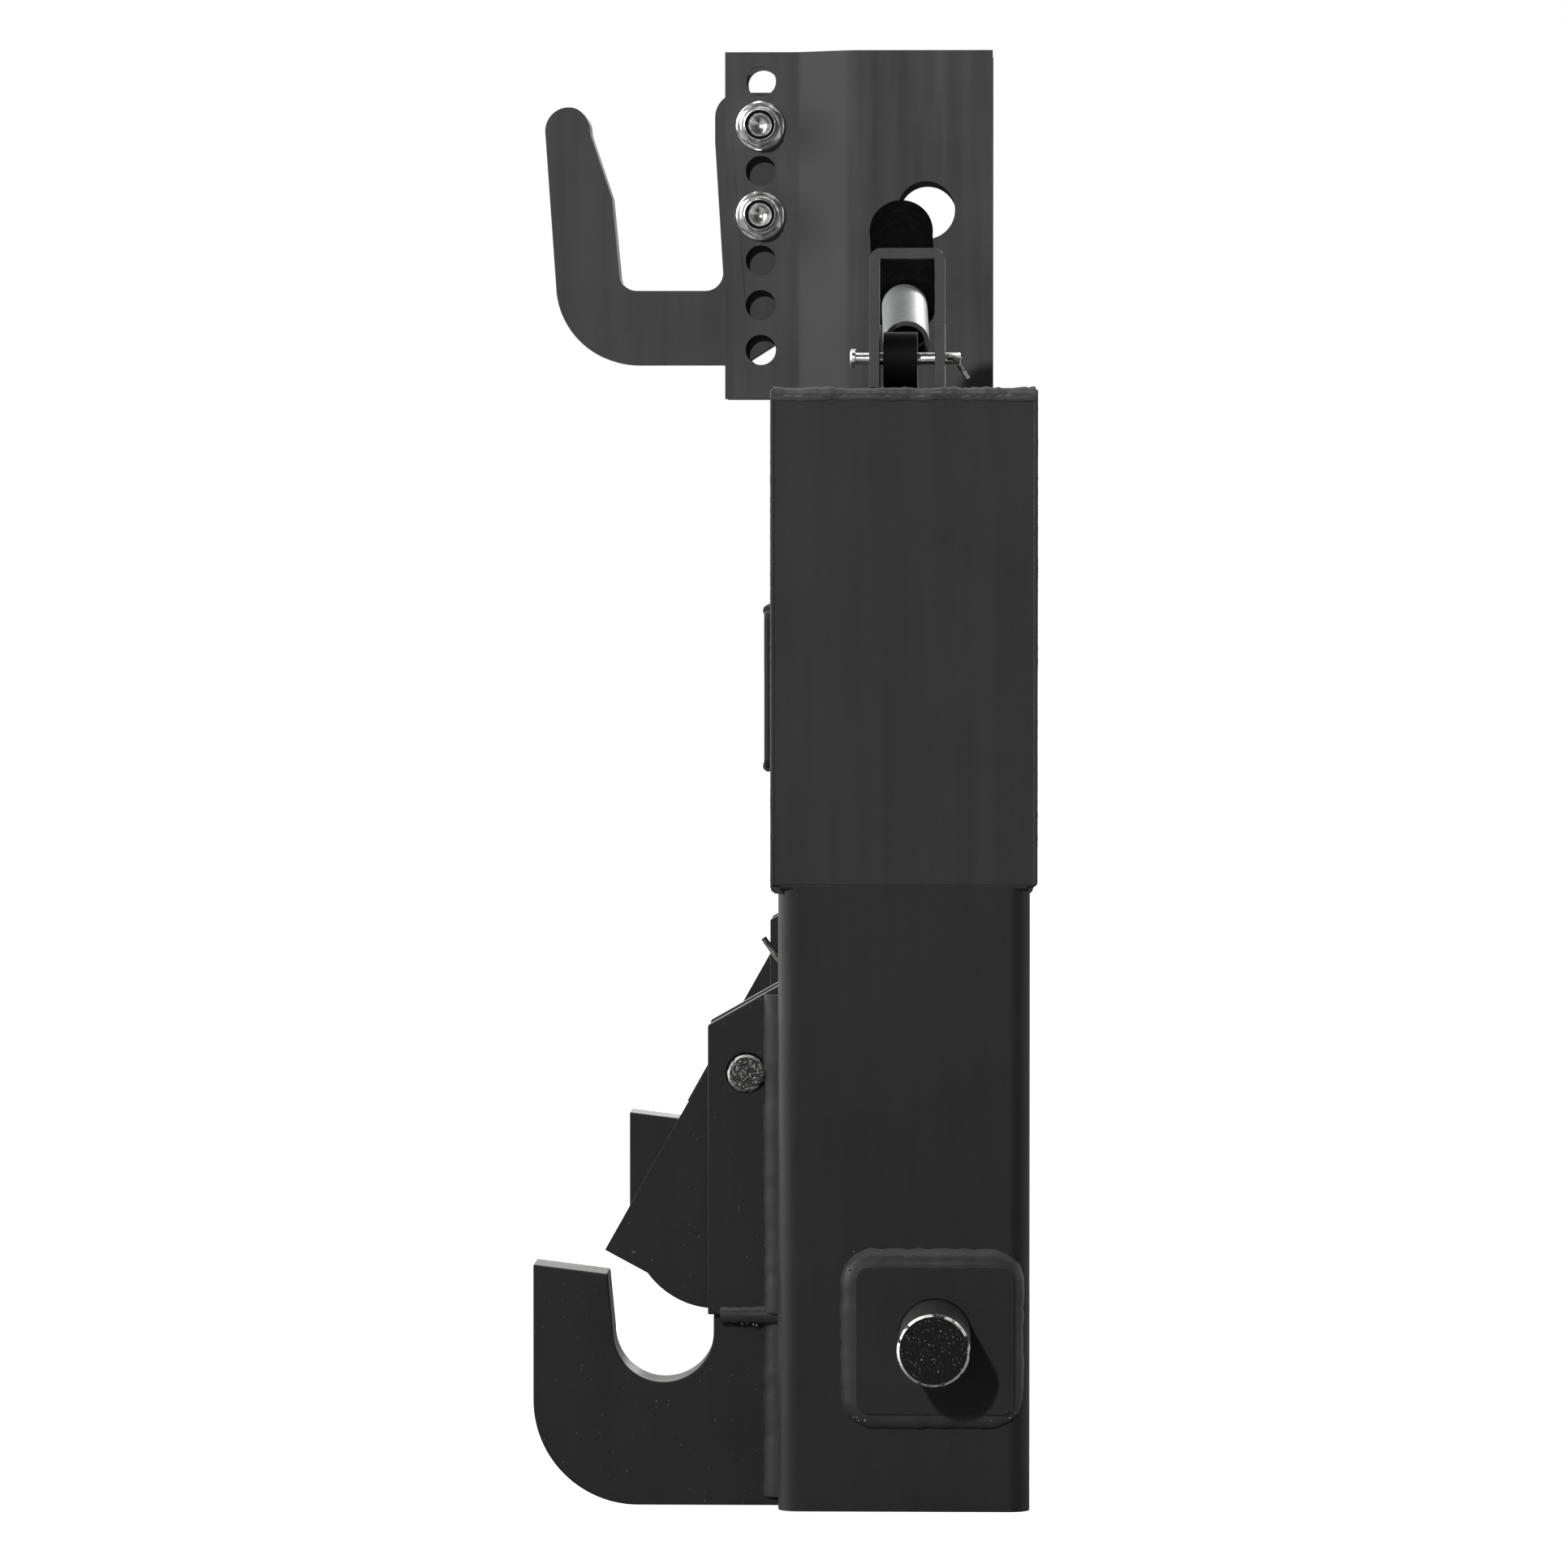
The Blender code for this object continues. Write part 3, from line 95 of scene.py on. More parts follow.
def low(node: str) -> Vector:
    """Lowest corner of a CAD node."""
    return Vector(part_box(node)[0])


def high(node: str) -> Vector:
    """Highest corner of a CAD node."""
    return Vector(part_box(node)[1])


def middle(node: str) -> Vector:
    """Centre of a CAD node's box."""
    return (low(node) + high(node)) / 2


def span(node: str) -> tuple[Vector, Vector]:
    """Lowest and highest corner of a CAD node."""
    return low(node), high(node)


def body_of_node(node: str) -> str:
    """Name of the body that carries a CAD node."""
    bodies = frame["record"]["behaviour"]["bodies"]
    return next(body for body, nodes in bodies.items() if node in nodes)


# Blender helpers


def deselect() -> None:
    """Deselects everything."""
    bpy.ops.object.select_all(action="DESELECT")


def select_only(piece: Object) -> None:
    """Makes a piece the only selected and the active object."""
    deselect()
    piece.select_set(True)
    bpy.context.view_layer.objects.active = piece


def new_object(name: str, data: bpy.types.ID) -> Object:
    """Puts data into the scene as an object."""
    piece = bpy.data.objects.new(name, data)
    bpy.context.scene.collection.objects.link(piece)
    return piece


def apply_modifier(piece: Object, kind: str, **settings: object) -> None:
    """Adds a modifier to a piece and applies it.

    Args:
        piece: The object to change.
        kind: Blender's name of the modifier type.
        settings: Values of the modifier's own properties.
    """
    select_only(piece)
    modifier = piece.modifiers.new(kind.title(), kind)
    for name, value in settings.items():
        setattr(modifier, name, value)
    bpy.ops.object.modifier_apply(modifier=modifier.name)


def stand(piece: Object, name: str, place: Vector, axis: Vector) -> Object:
    """Names a piece that was made along Z, and settles it at its place and along its axis."""
    piece.rotation_euler = axis.to_track_quat("Z", "Y").to_euler()
    piece.location = place
    return settle(piece, name)


def settle(piece: Object, name: str) -> Object:
    """Names a piece and moves its place into its mesh.

    Args:
        piece: The finished object, a mesh or a curve.
        name: The piece's name.

    Returns:
        The mesh object, unmoved, unturned and unscaled.
    """
    select_only(piece)
    if piece.type != "MESH":
        bpy.ops.object.convert(target="MESH")
        piece = bpy.context.object
    bpy.ops.object.transform_apply(location=True, rotation=True, scale=True)
    piece.name = name
    piece.data.name = name
    return piece


def face_outwards(piece: Object) -> None:
    """Merges a mesh's doubles and turns its faces outwards."""
    mesh = bmesh.new()
    mesh.from_mesh(piece.data)
    bmesh.ops.remove_doubles(mesh, verts=mesh.verts, dist=1e-6)
    bmesh.ops.recalc_face_normals(mesh, faces=mesh.faces)
    mesh.to_mesh(piece.data)
    mesh.free()


def smooth(piece: Object, degrees: float = 32) -> None:
    """Shades a piece smooth except at edges sharper than an angle."""
    select_only(piece)
    bpy.ops.object.shade_smooth_by_angle(angle=math.radians(degrees))


def lathe(name: str, profile: list[tuple[float, float]], place: Vector, axis: Vector,
          steps: int = 48) -> Object:
    """Spins an outline into a round piece.

    Args:
        name: The piece's name.
        profile: Radius and height pairs in millimetres, in order.
        place: Where the height is zero.
        axis: Direction of the heights.
        steps: Facets round the axis.

    Returns:
        The piece, with its faces outwards.
    """
    deselect()
    bpy.ops.mesh.primitive_plane_add(size=MILLIMETRE)
    piece = bpy.context.object
    bpy.ops.object.mode_set(mode="EDIT")
    bpy.ops.mesh.merge(type="CENTER")
    corner = Vector()
    for index, (radius, height) in enumerate(profile):
        step = Vector((radius, 0, height)) * MILLIMETRE - corner
        if index:
            bpy.ops.mesh.extrude_vertices_move(TRANSFORM_OT_translate={"value": step})
        else:
            bpy.ops.transform.translate(value=step)
        corner += step
    bpy.ops.mesh.select_all(action="SELECT")
    bpy.ops.mesh.spin(steps=steps, angle=math.tau, center=(0, 0, 0), axis=(0, 0, 1))
    bpy.ops.object.mode_set(mode="OBJECT")
    piece = stand(piece, name, place, axis)
    face_outwards(piece)
    smooth(piece)
    return piece


def hexagon(name: str, flats: float, height: float, place: Vector, axis: Vector) -> Object:
    """Makes a hexagon with turned corners, as on nuts and bolt heads.

    Args:
        name: The piece's name.
        flats: Width across its flats in millimetres.
        height: Its height in millimetres.
        place: Middle of its foot.
        axis: Direction from its foot to its top.

    Returns:
        The piece.
    """
    corner = flats / math.sqrt(3)
    deselect()
    bpy.ops.mesh.primitive_cylinder_add(vertices=6, radius=corner * MILLIMETRE, depth=height * MILLIMETRE,
                                        location=(0, 0, height / 2 * MILLIMETRE))
    piece = bpy.context.object
    turned = lathe("corner_cutter", [(0, 0), (corner + 0.2, 0), (corner + 0.2, height - 1.1),
                                     (flats / 2 * 0.95, height), (0, height)],
                   Vector(), Vector((0, 0, 1)), 72)
    apply_modifier(piece, "BOOLEAN", operation="INTERSECT", object=turned, solver="EXACT")
    bpy.data.objects.remove(turned)
    piece = stand(piece, name, place, axis)
    smooth(piece, 25)
    return piece


# Finishes


def linear(hex_colour: str) -> Colour:
    """Turns an sRGB hex colour into linear values.

    Args:
        hex_colour: Six hex digits after a hash sign.

    Returns:
        Linear red, green, blue and alpha.
    """
    values = [int(hex_colour[start:start + 2], 16) / 255 for start in (1, 3, 5)]
    bright = [value / 12.92 if value <= 0.04045 else ((value + 0.055) / 1.055) ** 2.4 for value in values]
    return (*bright, 1.0)


def add_node(tree: NodeTree, kind: str, inputs: dict | None = None, **settings: object) -> bpy.types.Node:
    """Adds a shader node with its settings, values and links.

    Args:
        tree: The node tree of a material or the world.
        kind: Blender's name of the node type, after ShaderNode.
        inputs: Values or output sockets by the names or numbers of the node's inputs.
        settings: Values of the node's own properties.

    Returns:
        The new node.
    """
    node = tree.nodes.new(f"ShaderNode{kind}")
    for name, value in settings.items():
        setattr(node, name, value)
    for name, value in (inputs or {}).items():
        if isinstance(value, Socket):
            tree.links.new(value, node.inputs[name])
        else:
            node.inputs[name].default_value = value
    return node


def new_material(name: str) -> tuple[bpy.types.Material, NodeTree, Socket]:
    """Makes an empty material.

    Args:
        name: The material's name.

    Returns:
        The material, its node tree and its Object coordinates.
    """
    material = bpy.data.materials.new(name)
    material.use_nodes = True
    tree = material.node_tree
    tree.nodes.clear()
    place = add_node(tree, "TexCoord").outputs["Object"]
    return material, tree, place


def noise(tree: NodeTree, place: Socket, millimetres: float, detail: float,
          stretch: tuple[float, float, float] = (1, 1, 1), lift: float = 0.5) -> Socket:
    """Adds a noise pattern of a real grain size.

    Args:
        tree: The node tree.
        place: Socket with the coordinates.
        millimetres: Size of the pattern's largest grain.
        detail: Levels of finer grain.
        stretch: How many times longer the grain is along X, Y and Z.
        lift: Roughness of the finer levels.

    Returns:
        The socket of the pattern, about 0.5 on average.
    """
    scale = [1 / value for value in stretch]
    turned = add_node(tree, "Mapping", {"Vector": place, "Scale": scale})
    pattern = add_node(tree, "TexNoise", {
        "Vector": turned.outputs[0], "Scale": 1 / (millimetres * MILLIMETRE), "Detail": detail,
        "Roughness": lift})
    return pattern.outputs[0]


def ramp(tree: NodeTree, value: Socket, start: float, end: float, first: float = 0.0,
         last: float = 1.0) -> Socket:
    """Adds a smooth step of a value between two limits.

    Args:
        tree: The node tree.
        value: Socket to map.
        start: Value at which the step starts.
        end: Value at which it ends.
        first: Result before the step.
        last: Result after it.

    Returns:
        The socket of the result.
    """
    step = add_node(tree, "MapRange", {
        "Value": value, "From Min": start, "From Max": end, "To Min": first, "To Max": last})
    return step.outputs[0]


def combine(tree: NodeTree, operation: str, first: Socket, second: Socket | float) -> Socket:
    """Socket of two values after one of Blender's calculations, such as ADD."""
    return add_node(tree, "Math", {0: first, 1: second}, operation=operation).outputs[0]


def blend_colour(tree: NodeTree, factor: Socket, first: Socket | Colour, second: Socket | Colour) -> Socket:
    """Mixes two colours by a factor.

    Args:
        tree: The node tree.
        factor: Socket that runs from 0 to 1.
        first: Colour or socket at 0.
        second: Colour or socket at 1.

    Returns:
        The socket of the mixed colour.
    """
    return add_node(tree, "Mix", {0: factor, 6: first, 7: second}, data_type="RGBA").outputs[2]


def facing(tree: NodeTree, axis: int, kind: str = "Normal") -> Socket:
    """Socket of how far the surface faces along an axis, which is 0 for X to 2 for Z."""
    normal = add_node(tree, "NewGeometry").outputs[kind]
    return add_node(tree, "SeparateXYZ", {0: normal}).outputs[axis]


def bump(tree: NodeTree, height: Socket, strength: float, millimetres: float) -> Socket:
    """Socket of the normal on a relief of a height, at a share of its strength."""
    return add_node(tree, "Bump", {
        "Height": height, "Strength": strength, "Distance": millimetres * MILLIMETRE}).outputs[0]


def close_material(tree: NodeTree, base: Socket, normal: Socket, **values: Socket | float) -> None:
    """Adds the Principled shader and the output.

    Args:
        tree: The node tree.
        base: Socket of the base colour.
        normal: Socket of the bumped normal.
        values: Values or sockets by the shader's input names, with underscores for spaces.
    """
    inputs = {"Base Color": base, "Normal": normal}
    inputs.update({name.replace("_", " "): value for name, value in values.items()})
    shader = add_node(tree, "BsdfPrincipled", inputs)
    add_node(tree, "OutputMaterial", {0: shader.outputs[0]})


@dataclass(frozen=True)
class SprayedEnamel:
    """Alkyd enamel sprayed on blasted steel: dark, satin, a little dusty, with an orange peel skin.

    The eye sees an even near-black grey with faint cloudy streaks where the coat is thinner. Up-facing faces
    turn pale, partly dust and partly painted highlight; faces turned to -X can get a painted highlight colour.
    """

    name: str
    slot: str
    colour: str
    # Pale colour of the dust specks and of the up-facing tone, which is partly dust and partly a painted
    # highlight on the tops.
    dust: str = "#6a6a68"
    dust_share: float = 0.35
    roughness: float = 0.46
    sheen: float = 0.12
    streak_contrast: float = 0.16
    # Lighter colour for faces turned to -X, a painted highlight on the plates' bends; empty for none.
    bend: str = ""
    bend_limits: tuple[float, float] = (-0.3, -0.45)
    dust_limits: tuple[float, float] = (0.55, 0.95)

    def build(self) -> bpy.types.Material:
        """Makes the enamel's material."""
        material, tree, place = new_material(self.name)
        clouds = noise(tree, place, 70, 4)
        streaks = noise(tree, place, 9, 3, stretch=(1, 1, 14))
        both = combine(tree, "ADD", clouds, streaks)
        colour = linear(self.colour)
        thin, thick = ((*(value * (1 + change) for value in colour[:3]), 1.0)
                       for change in (self.streak_contrast, -self.streak_contrast))
        enamel = blend_colour(tree, ramp(tree, both, 0.75, 1.25), thick, thin)
        # Faces turned to -X take the lighter colour, a painted highlight on the bend.
        if self.bend:
            turned = ramp(tree, facing(tree, 0), *self.bend_limits)
            enamel = blend_colour(tree, turned, enamel, linear(self.bend))
        specks = ramp(tree, noise(tree, place, 1.6, 2), 0.72, 0.80, 0.0, 0.12)
        enamel = blend_colour(tree, specks, enamel, linear(self.dust))
        # Up-facing faces turn paler: partly settled dust, partly a painted highlight where light from above
        # falls.
        patches = ramp(tree, noise(tree, place, 30, 5), 0.3, 0.75, 0.6, 1.0)
        lying_dust_and_highlight = combine(tree, "MULTIPLY", ramp(tree, facing(tree, 2), *self.dust_limits), patches)
        settled_dust_and_highlight = combine(tree, "MULTIPLY", lying_dust_and_highlight, self.dust_share)
        enamel = blend_colour(tree, settled_dust_and_highlight, enamel, linear(self.dust))
        gloss = ramp(tree, noise(tree, place, 25, 4), 0.3, 0.7, self.roughness - 0.07, self.roughness + 0.08)
        peel = bump(tree, noise(tree, place, 1.1, 2), 0.1, 0.3)
        close_material(tree, enamel, peel, Roughness=gloss, Specular_IOR_Level=self.sheen)
        return material


@dataclass(frozen=True)
class BrightZinc:
    """Bright zinc plating on turned and pressed steel: silvery with soft grey clouds and fine tool marks."""

    name: str
    slot: str
    colour: str = "#d2d3d1"
    shade: str = "#9d9e9d"
    roughness: float = 0.2
    mark_depth: float = 0.08
    metallic: float = 1.0

    def build(self) -> bpy.types.Material:
        """Makes the plating's material."""
        material, tree, place = new_material(self.name)
        clouds = ramp(tree, noise(tree, place, 4, 5), 0.38, 0.62)
        colour = blend_colour(tree, clouds, linear(self.shade), linear(self.colour))
        gloss = ramp(tree, noise(tree, place, 2.2, 4), 0.3, 0.7, self.roughness - 0.04, self.roughness + 0.05)
        marks = bump(tree, noise(tree, place, 0.5, 2), self.mark_depth, 0.2)
        close_material(tree, colour, marks, Metallic=self.metallic, Roughness=gloss)
        return material


@dataclass(frozen=True)
class SawnSteel:
    """Bar end of hot rolled steel, sawn and painted thinly: dark pits with bright specks that glitter.

    The round side keeps the frame's dark enamel, and the turned chamfer between them is rubbed bright. The
    limits are the normal's share along Y, which is 1 on the ends.
    """

    name: str
    slot: str
    scale_colour: str = "#0b0b0b"
    metal_colour: str = "#a8a7a4"
    side_colour: str = "#1b1b1b"
    speck_share: float = 0.5
    grain: float = 0.8
    chamfer_limits: tuple[float, float] = (0.2, 0.35)
    end_limits: tuple[float, float] = (0.9, 0.97)

    def build(self) -> bpy.types.Material:
        """Makes the bare steel's material."""
        material, tree, place = new_material(self.name)
        grains = noise(tree, place, self.grain, 6, lift=0.7)
        limit = 0.72 - 0.2 * self.speck_share
        specks = ramp(tree, grains, limit, limit + 0.06)
        rubbed = ramp(tree, noise(tree, place, 3, 4), 0.4, 0.52)
        outwards = add_node(tree, "Math", {0: facing(tree, 1, "True Normal")},
                            operation="ABSOLUTE").outputs[0]
        slanting = ramp(tree, outwards, *self.chamfer_limits)
        chamfer = combine(tree, "MULTIPLY", slanting, ramp(tree, outwards, *self.end_limits, 1.0, 0.0))
        end = ramp(tree, outwards, *self.end_limits)
        bright = combine(tree, "MULTIPLY", chamfer, rubbed)
        glitter = combine(tree, "MULTIPLY", end, specks)
        bare = combine(tree, "MAXIMUM", bright, glitter)
        dark = blend_colour(tree, end, linear(self.side_colour), linear(self.scale_colour))
        colour = blend_colour(tree, bare, dark, linear(self.metal_colour))
        gloss = ramp(tree, bare, 0, 1, 0.62, 0.3)
        pits = bump(tree, noise(tree, place, self.grain * 1.7, 5, lift=0.65), 0.8, 0.9)
        metal = ramp(tree, bare, 0, 1, 0.0, 1.0)
        close_material(tree, colour, pits, Metallic=metal, Roughness=gloss, Specular_IOR_Level=0.08)
        return material


@dataclass(frozen=True)
class MouldedRubber:
    """Black moulded rubber: deep matt black with a faint grey bloom on its ribs."""

    name: str
    slot: str
    colour: str = "#0b0b0b"
    bloom: str = "#1c1c1c"
    roughness: float = 0.7

    def build(self) -> bpy.types.Material:
        """Makes the rubber's material."""
        material, tree, place = new_material(self.name)
        bloom = ramp(tree, noise(tree, place, 6, 4), 0.45, 0.8, 0.0, 0.45)
        colour = blend_colour(tree, bloom, linear(self.colour), linear(self.bloom))
        grain = bump(tree, noise(tree, place, 0.5, 2), 0.3, 0.2)
        gloss = ramp(tree, bloom, 0, 0.45, self.roughness - 0.08, self.roughness + 0.12)
        close_material(tree, colour, grain, Roughness=gloss, Specular_IOR_Level=0.0)
        return material


class Finish(Enum):
    """The finishes of the hitch, each with its slot in the record."""

    # The frame's enamels run lighter on the tower and darker down the legs and lower hooks, and the cap's top
    # beads are lighter than the other beads.
    BEAM = SprayedEnamel("beam_enamel", "frame_paint", "#252525")
    LEG = SprayedEnamel("leg_enamel", "frame_paint", "#1a1a1a")
    # The tower's lighter bend colour is a painted highlight on its bends.
    TOWER = SprayedEnamel("tower_enamel", "tower_paint", "#444444", roughness=0.55, sheen=0.05,
                           bend="#494949", streak_contrast=0.22)
    TOP_HOOK = SprayedEnamel("top_hook_enamel", "hook_paint", "#393939")
    # The lower hooks' pale up-facing colour is a painted highlight on the mouth's floor and the tip's top.
    HOOK = SprayedEnamel("hook_enamel", "hook_paint", "#171717", dust="#c8c8c6", dust_share=0.7)
    BRACKET = SprayedEnamel("bracket_enamel", "tower_paint", "#414141", roughness=0.38)
    WELD = SprayedEnamel("weld_enamel", "frame_paint", "#2d2d2d", roughness=0.5, sheen=0.1)
    RIDGE = SprayedEnamel("ridge_enamel", "frame_paint", "#3f3f3f", roughness=0.45, sheen=0.14,
                          streak_contrast=0.3)
    DROPS = SprayedEnamel("weld_drops", "frame_paint", "#5c5c5a", roughness=0.25, sheen=0.5)
    BLACK = SprayedEnamel("knuckle_enamel", "black_steel", "#070707", dust="#1a1a1a", dust_share=0.2,
                          roughness=0.6, sheen=0.05)
    ZINC = BrightZinc("bright_zinc", "zinc")
    TUBE = BrightZinc("tube_zinc", "zinc", "#4a4b4b", "#434444", 0.6, 0.03, 0.6)
    SPRING = BrightZinc("spring_wire", "spring_steel", "#8d8c88", "#4b4a48", 0.33)
    SAWN = SawnSteel("sawn_bar_end", "raw_steel")
    LATCH_PIN = SawnSteel("latch_pin_end", "raw_steel", "#262626", "#8a8a87", "#1b1b1b", 0.9, 0.7)
    RUBBER = MouldedRubber("moulded_rubber", "rubber")

    @property
    def material(self) -> bpy.types.Material:
        """The finish's material, made at its first use."""
        return bpy.data.materials.get(self.value.name) or self.value.build()


def coat(piece: Object, finish: Finish) -> None:
    """Gives a piece one finish all over."""
    piece.data.materials.clear()
    piece.data.materials.append(finish.material)


# Welds

# Weld beads: shares of the radius, and of the last drift that a point keeps
BEAD_STEP = 0.55
BEAD_MEMORY = 0.8
BEAD_DRIFT = 0.45
BEAD_RIPPLE = 0.04
BEAD_SHIFT = 0.25

# Weld drops: how many at a place, and their radii in millimetres
DROP_COUNT = 6
DROP_RADII = (0.25, 0.6)

WELD_ANGLE = 60


def bead(name: str, node: str, path: list[Vector], radius: float, seed: int, waver: float = 0.16,
         closed: bool = False, finish: Finish = Finish.WELD) -> None:
    """Lays a weld bead along a path.

    Args:
        name: The piece's name.
        node: The CAD node that it rides with.
        path: Corners of the path.
        radius: The bead's radius in millimetres.
        seed: Number that fixes its irregularities.
        waver: Share by which the radius and the place vary.
        closed: Whether the bead runs round.
        finish: Its finish.
    """
    chance = random.Random(seed)
    corners = path + path[:1] if closed else path
    curve = bpy.data.curves.new(name, "CURVE")
    curve.dimensions = "3D"
    curve.bevel_depth = MILLIMETRE
    curve.bevel_resolution = 3
    curve.use_fill_caps = not closed
    points = []
    for start, end in zip(corners, corners[1:]):
        count = max(1, round((end - start).length / (radius * BEAD_STEP * MILLIMETRE)))
        points += [start.lerp(end, index / count) for index in range(count)]
    if not closed:
        points.append(corners[-1])
    line = curve.splines.new("POLY")
    line.use_cyclic_u = closed
    line.points.add(len(points) - 1)
    drift = 0.0
    for index, (place, point) in enumerate(zip(points, line.points)):
        drift = BEAD_MEMORY * drift + chance.uniform(-1, 1) * BEAD_DRIFT
        ripple = BEAD_RIPPLE * math.sin(index * math.pi * 0.8)
        shift = Vector([chance.uniform(-1, 1) for _ in range(3)]) * radius * waver * BEAD_SHIFT * MILLIMETRE
        point.co = (*(place + shift), 1)
        point.radius = radius * (1 + waver * drift + ripple)
    piece = settle(new_object(name, curve), name)
    face_outwards(piece)
    smooth(piece, WELD_ANGLE)
    coat(piece, finish)
    add_on(piece, node)


def spatter(name: str, node: str, places: list[Vector], seed: int, spread: float = 2.5) -> None:
    """Scatters small weld drops around places on the steel, as one piece.

    Args:
        name: The piece's name.
        node: The CAD node that they ride with.
        places: Middles of the drops' groups.
        seed: Number that fixes their places and sizes.
        spread: How far they lie from the middles, in millimetres.
    """
    chance = random.Random(seed)
    drops = []
    for place in places:
        for _ in range(DROP_COUNT):
            shift = Vector((chance.gauss(0, spread), 0, chance.gauss(0, spread))) * MILLIMETRE
            deselect()
            radius = chance.uniform(*DROP_RADII) * MILLIMETRE
            bpy.ops.mesh.primitive_ico_sphere_add(subdivisions=2, radius=radius, location=place + shift)
            drops.append(bpy.context.object)
    deselect()
    for drop in drops:
        drop.select_set(True)
    bpy.context.view_layer.objects.active = drops[0]
    bpy.ops.object.join()
    piece = settle(bpy.context.object, name)
    smooth(piece, WELD_ANGLE)
    coat(piece, Finish.DROPS)
    add_on(piece, node)


# Refining the CAD solids

SOFT_ANGLE = math.radians(28)
FLAT_ANGLE = math.radians(0.4)


def arc_lift(wall: bmesh.types.BMFace, edge: bmesh.types.BMEdge) -> Vector | None:
    """Finds how far the middle of a round wall's outline edge lies from its arc.

    Args:
        wall: A four-sided facet of the wall.
        edge: One of its two outline edges.

    Returns:
        The shift onto the arc, or None where the wall isn't round.
    """
    if not edge.is_manifold or edge.calc_face_angle(0) < SOFT_ANGLE:
        return None
    length = edge.calc_length()
    turns = []
    for corner in edge.verts:
        ruling = next(side for side in wall.edges if side is not edge and corner in side.verts)
        if not ruling.is_manifold or not FLAT_ANGLE < ruling.calc_face_angle(0) < SOFT_ANGLE:
            continue
        beyond = next(face for face in ruling.link_faces if face is not wall)
        following = next((side for side in beyond.edges if side is not ruling and corner in side.verts), None)
        if following is None or abs(following.calc_length() - length) > 0.05 * length:
            continue
        ahead = (following.other_vert(corner).co - corner.co).normalized()
        back = (edge.other_vert(corner).co - corner.co).normalized()
        turns.append(ahead + back)
    if not turns:
        return None
    lift = -sum(turns, Vector()) / len(turns) * length / 8
    along = (edge.verts[1].co - edge.verts[0].co).normalized()
    return lift - along * lift.dot(along)


def round_arcs(mesh: bmesh.types.BMesh) -> None:
    """Splits each facet of the round walls once, with the new points on the arcs."""
    lifts = {}
    walls = []
    for wall in mesh.faces:
        if len(wall.edges) != 4:
            continue
        for start in (0, 1):
            outline = [wall.edges[start], wall.edges[start + 2]]
            found = [arc_lift(wall, edge) for edge in outline]
            if None not in found:
                walls.append((wall, outline))
                lifts.update(zip(outline, found))
                break
    middles = {}
    for edge, lift in lifts.items():
        _, point = bmesh.utils.edge_split(edge, edge.verts[0], 0.5)
        point.co += lift
        middles[edge] = point
    for wall, outline in walls:
        bmesh.utils.face_split(wall, middles[outline[0]], middles[outline[1]])


def refined(node: str, finish: Finish, edge: float, rounds: int = 1,
            reshape: Callable[[bmesh.types.BMesh], None] | None = None) -> Object:
    """Makes the visible form of a CAD node, with rounder arcs and soft edges.

    Args:
        node: The CAD node that it stands for.
        finish: Its finish.
        edge: Width of the soft edges in millimetres, 0 for none.
        rounds: How often the facets of its round walls are split.
        reshape: Last small change to the copy before its walls are rounded.

    Returns:
        The piece, riding on the node's body.
    """
    data = frame["nodes"][node].data.copy()
    piece = new_object(f"dressed_{node}", data)
    mesh = bmesh.new()
    mesh.from_mesh(data)
    bmesh.ops.remove_doubles(mesh, verts=mesh.verts, dist=1e-6)
    bmesh.ops.dissolve_limit(mesh, angle_limit=FLAT_ANGLE, verts=mesh.verts, edges=mesh.edges)
    if reshape:
        reshape(mesh)
    for _ in range(rounds):
        round_arcs(mesh)
    mesh.to_mesh(data)
    mesh.free()
    coat(piece, finish)
    data.shade_smooth()
    if edge:
        apply_modifier(piece, "BEVEL", width=edge * MILLIMETRE, segments=2, limit_method="ANGLE",
                       angle_limit=SOFT_ANGLE, miter_outer="MITER_ARC")
        apply_modifier(piece, "WEIGHTED_NORMAL", mode="FACE_AREA", keep_sharp=True)
    else:
        smooth(piece)
    carry(piece, node)
    return piece


def carry(piece: Object, *nodes: str) -> None:
    """Puts a piece in the place of CAD nodes, on the body of the first."""
    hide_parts(*nodes)
    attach(piece, body_of_node(nodes[0]))
    LOG.info("%s stands for %s", piece.name, ", ".join(nodes))


def add_on(piece: Object, node: str) -> None:
    """Lets an extra piece ride with a CAD node's body."""
    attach(piece, body_of_node(node))
    LOG.info("%s rides with %s", piece.name, node)


def dress(node: str, finish: Finish) -> None:
    """Gives a CAD node, whose shape stays, its finish."""
    for place in frame["nodes"][node].material_slots:
        place.material = finish.material
    LOG.info("%s is finished in %s", node, finish.value.name)


# Sub-assemblies


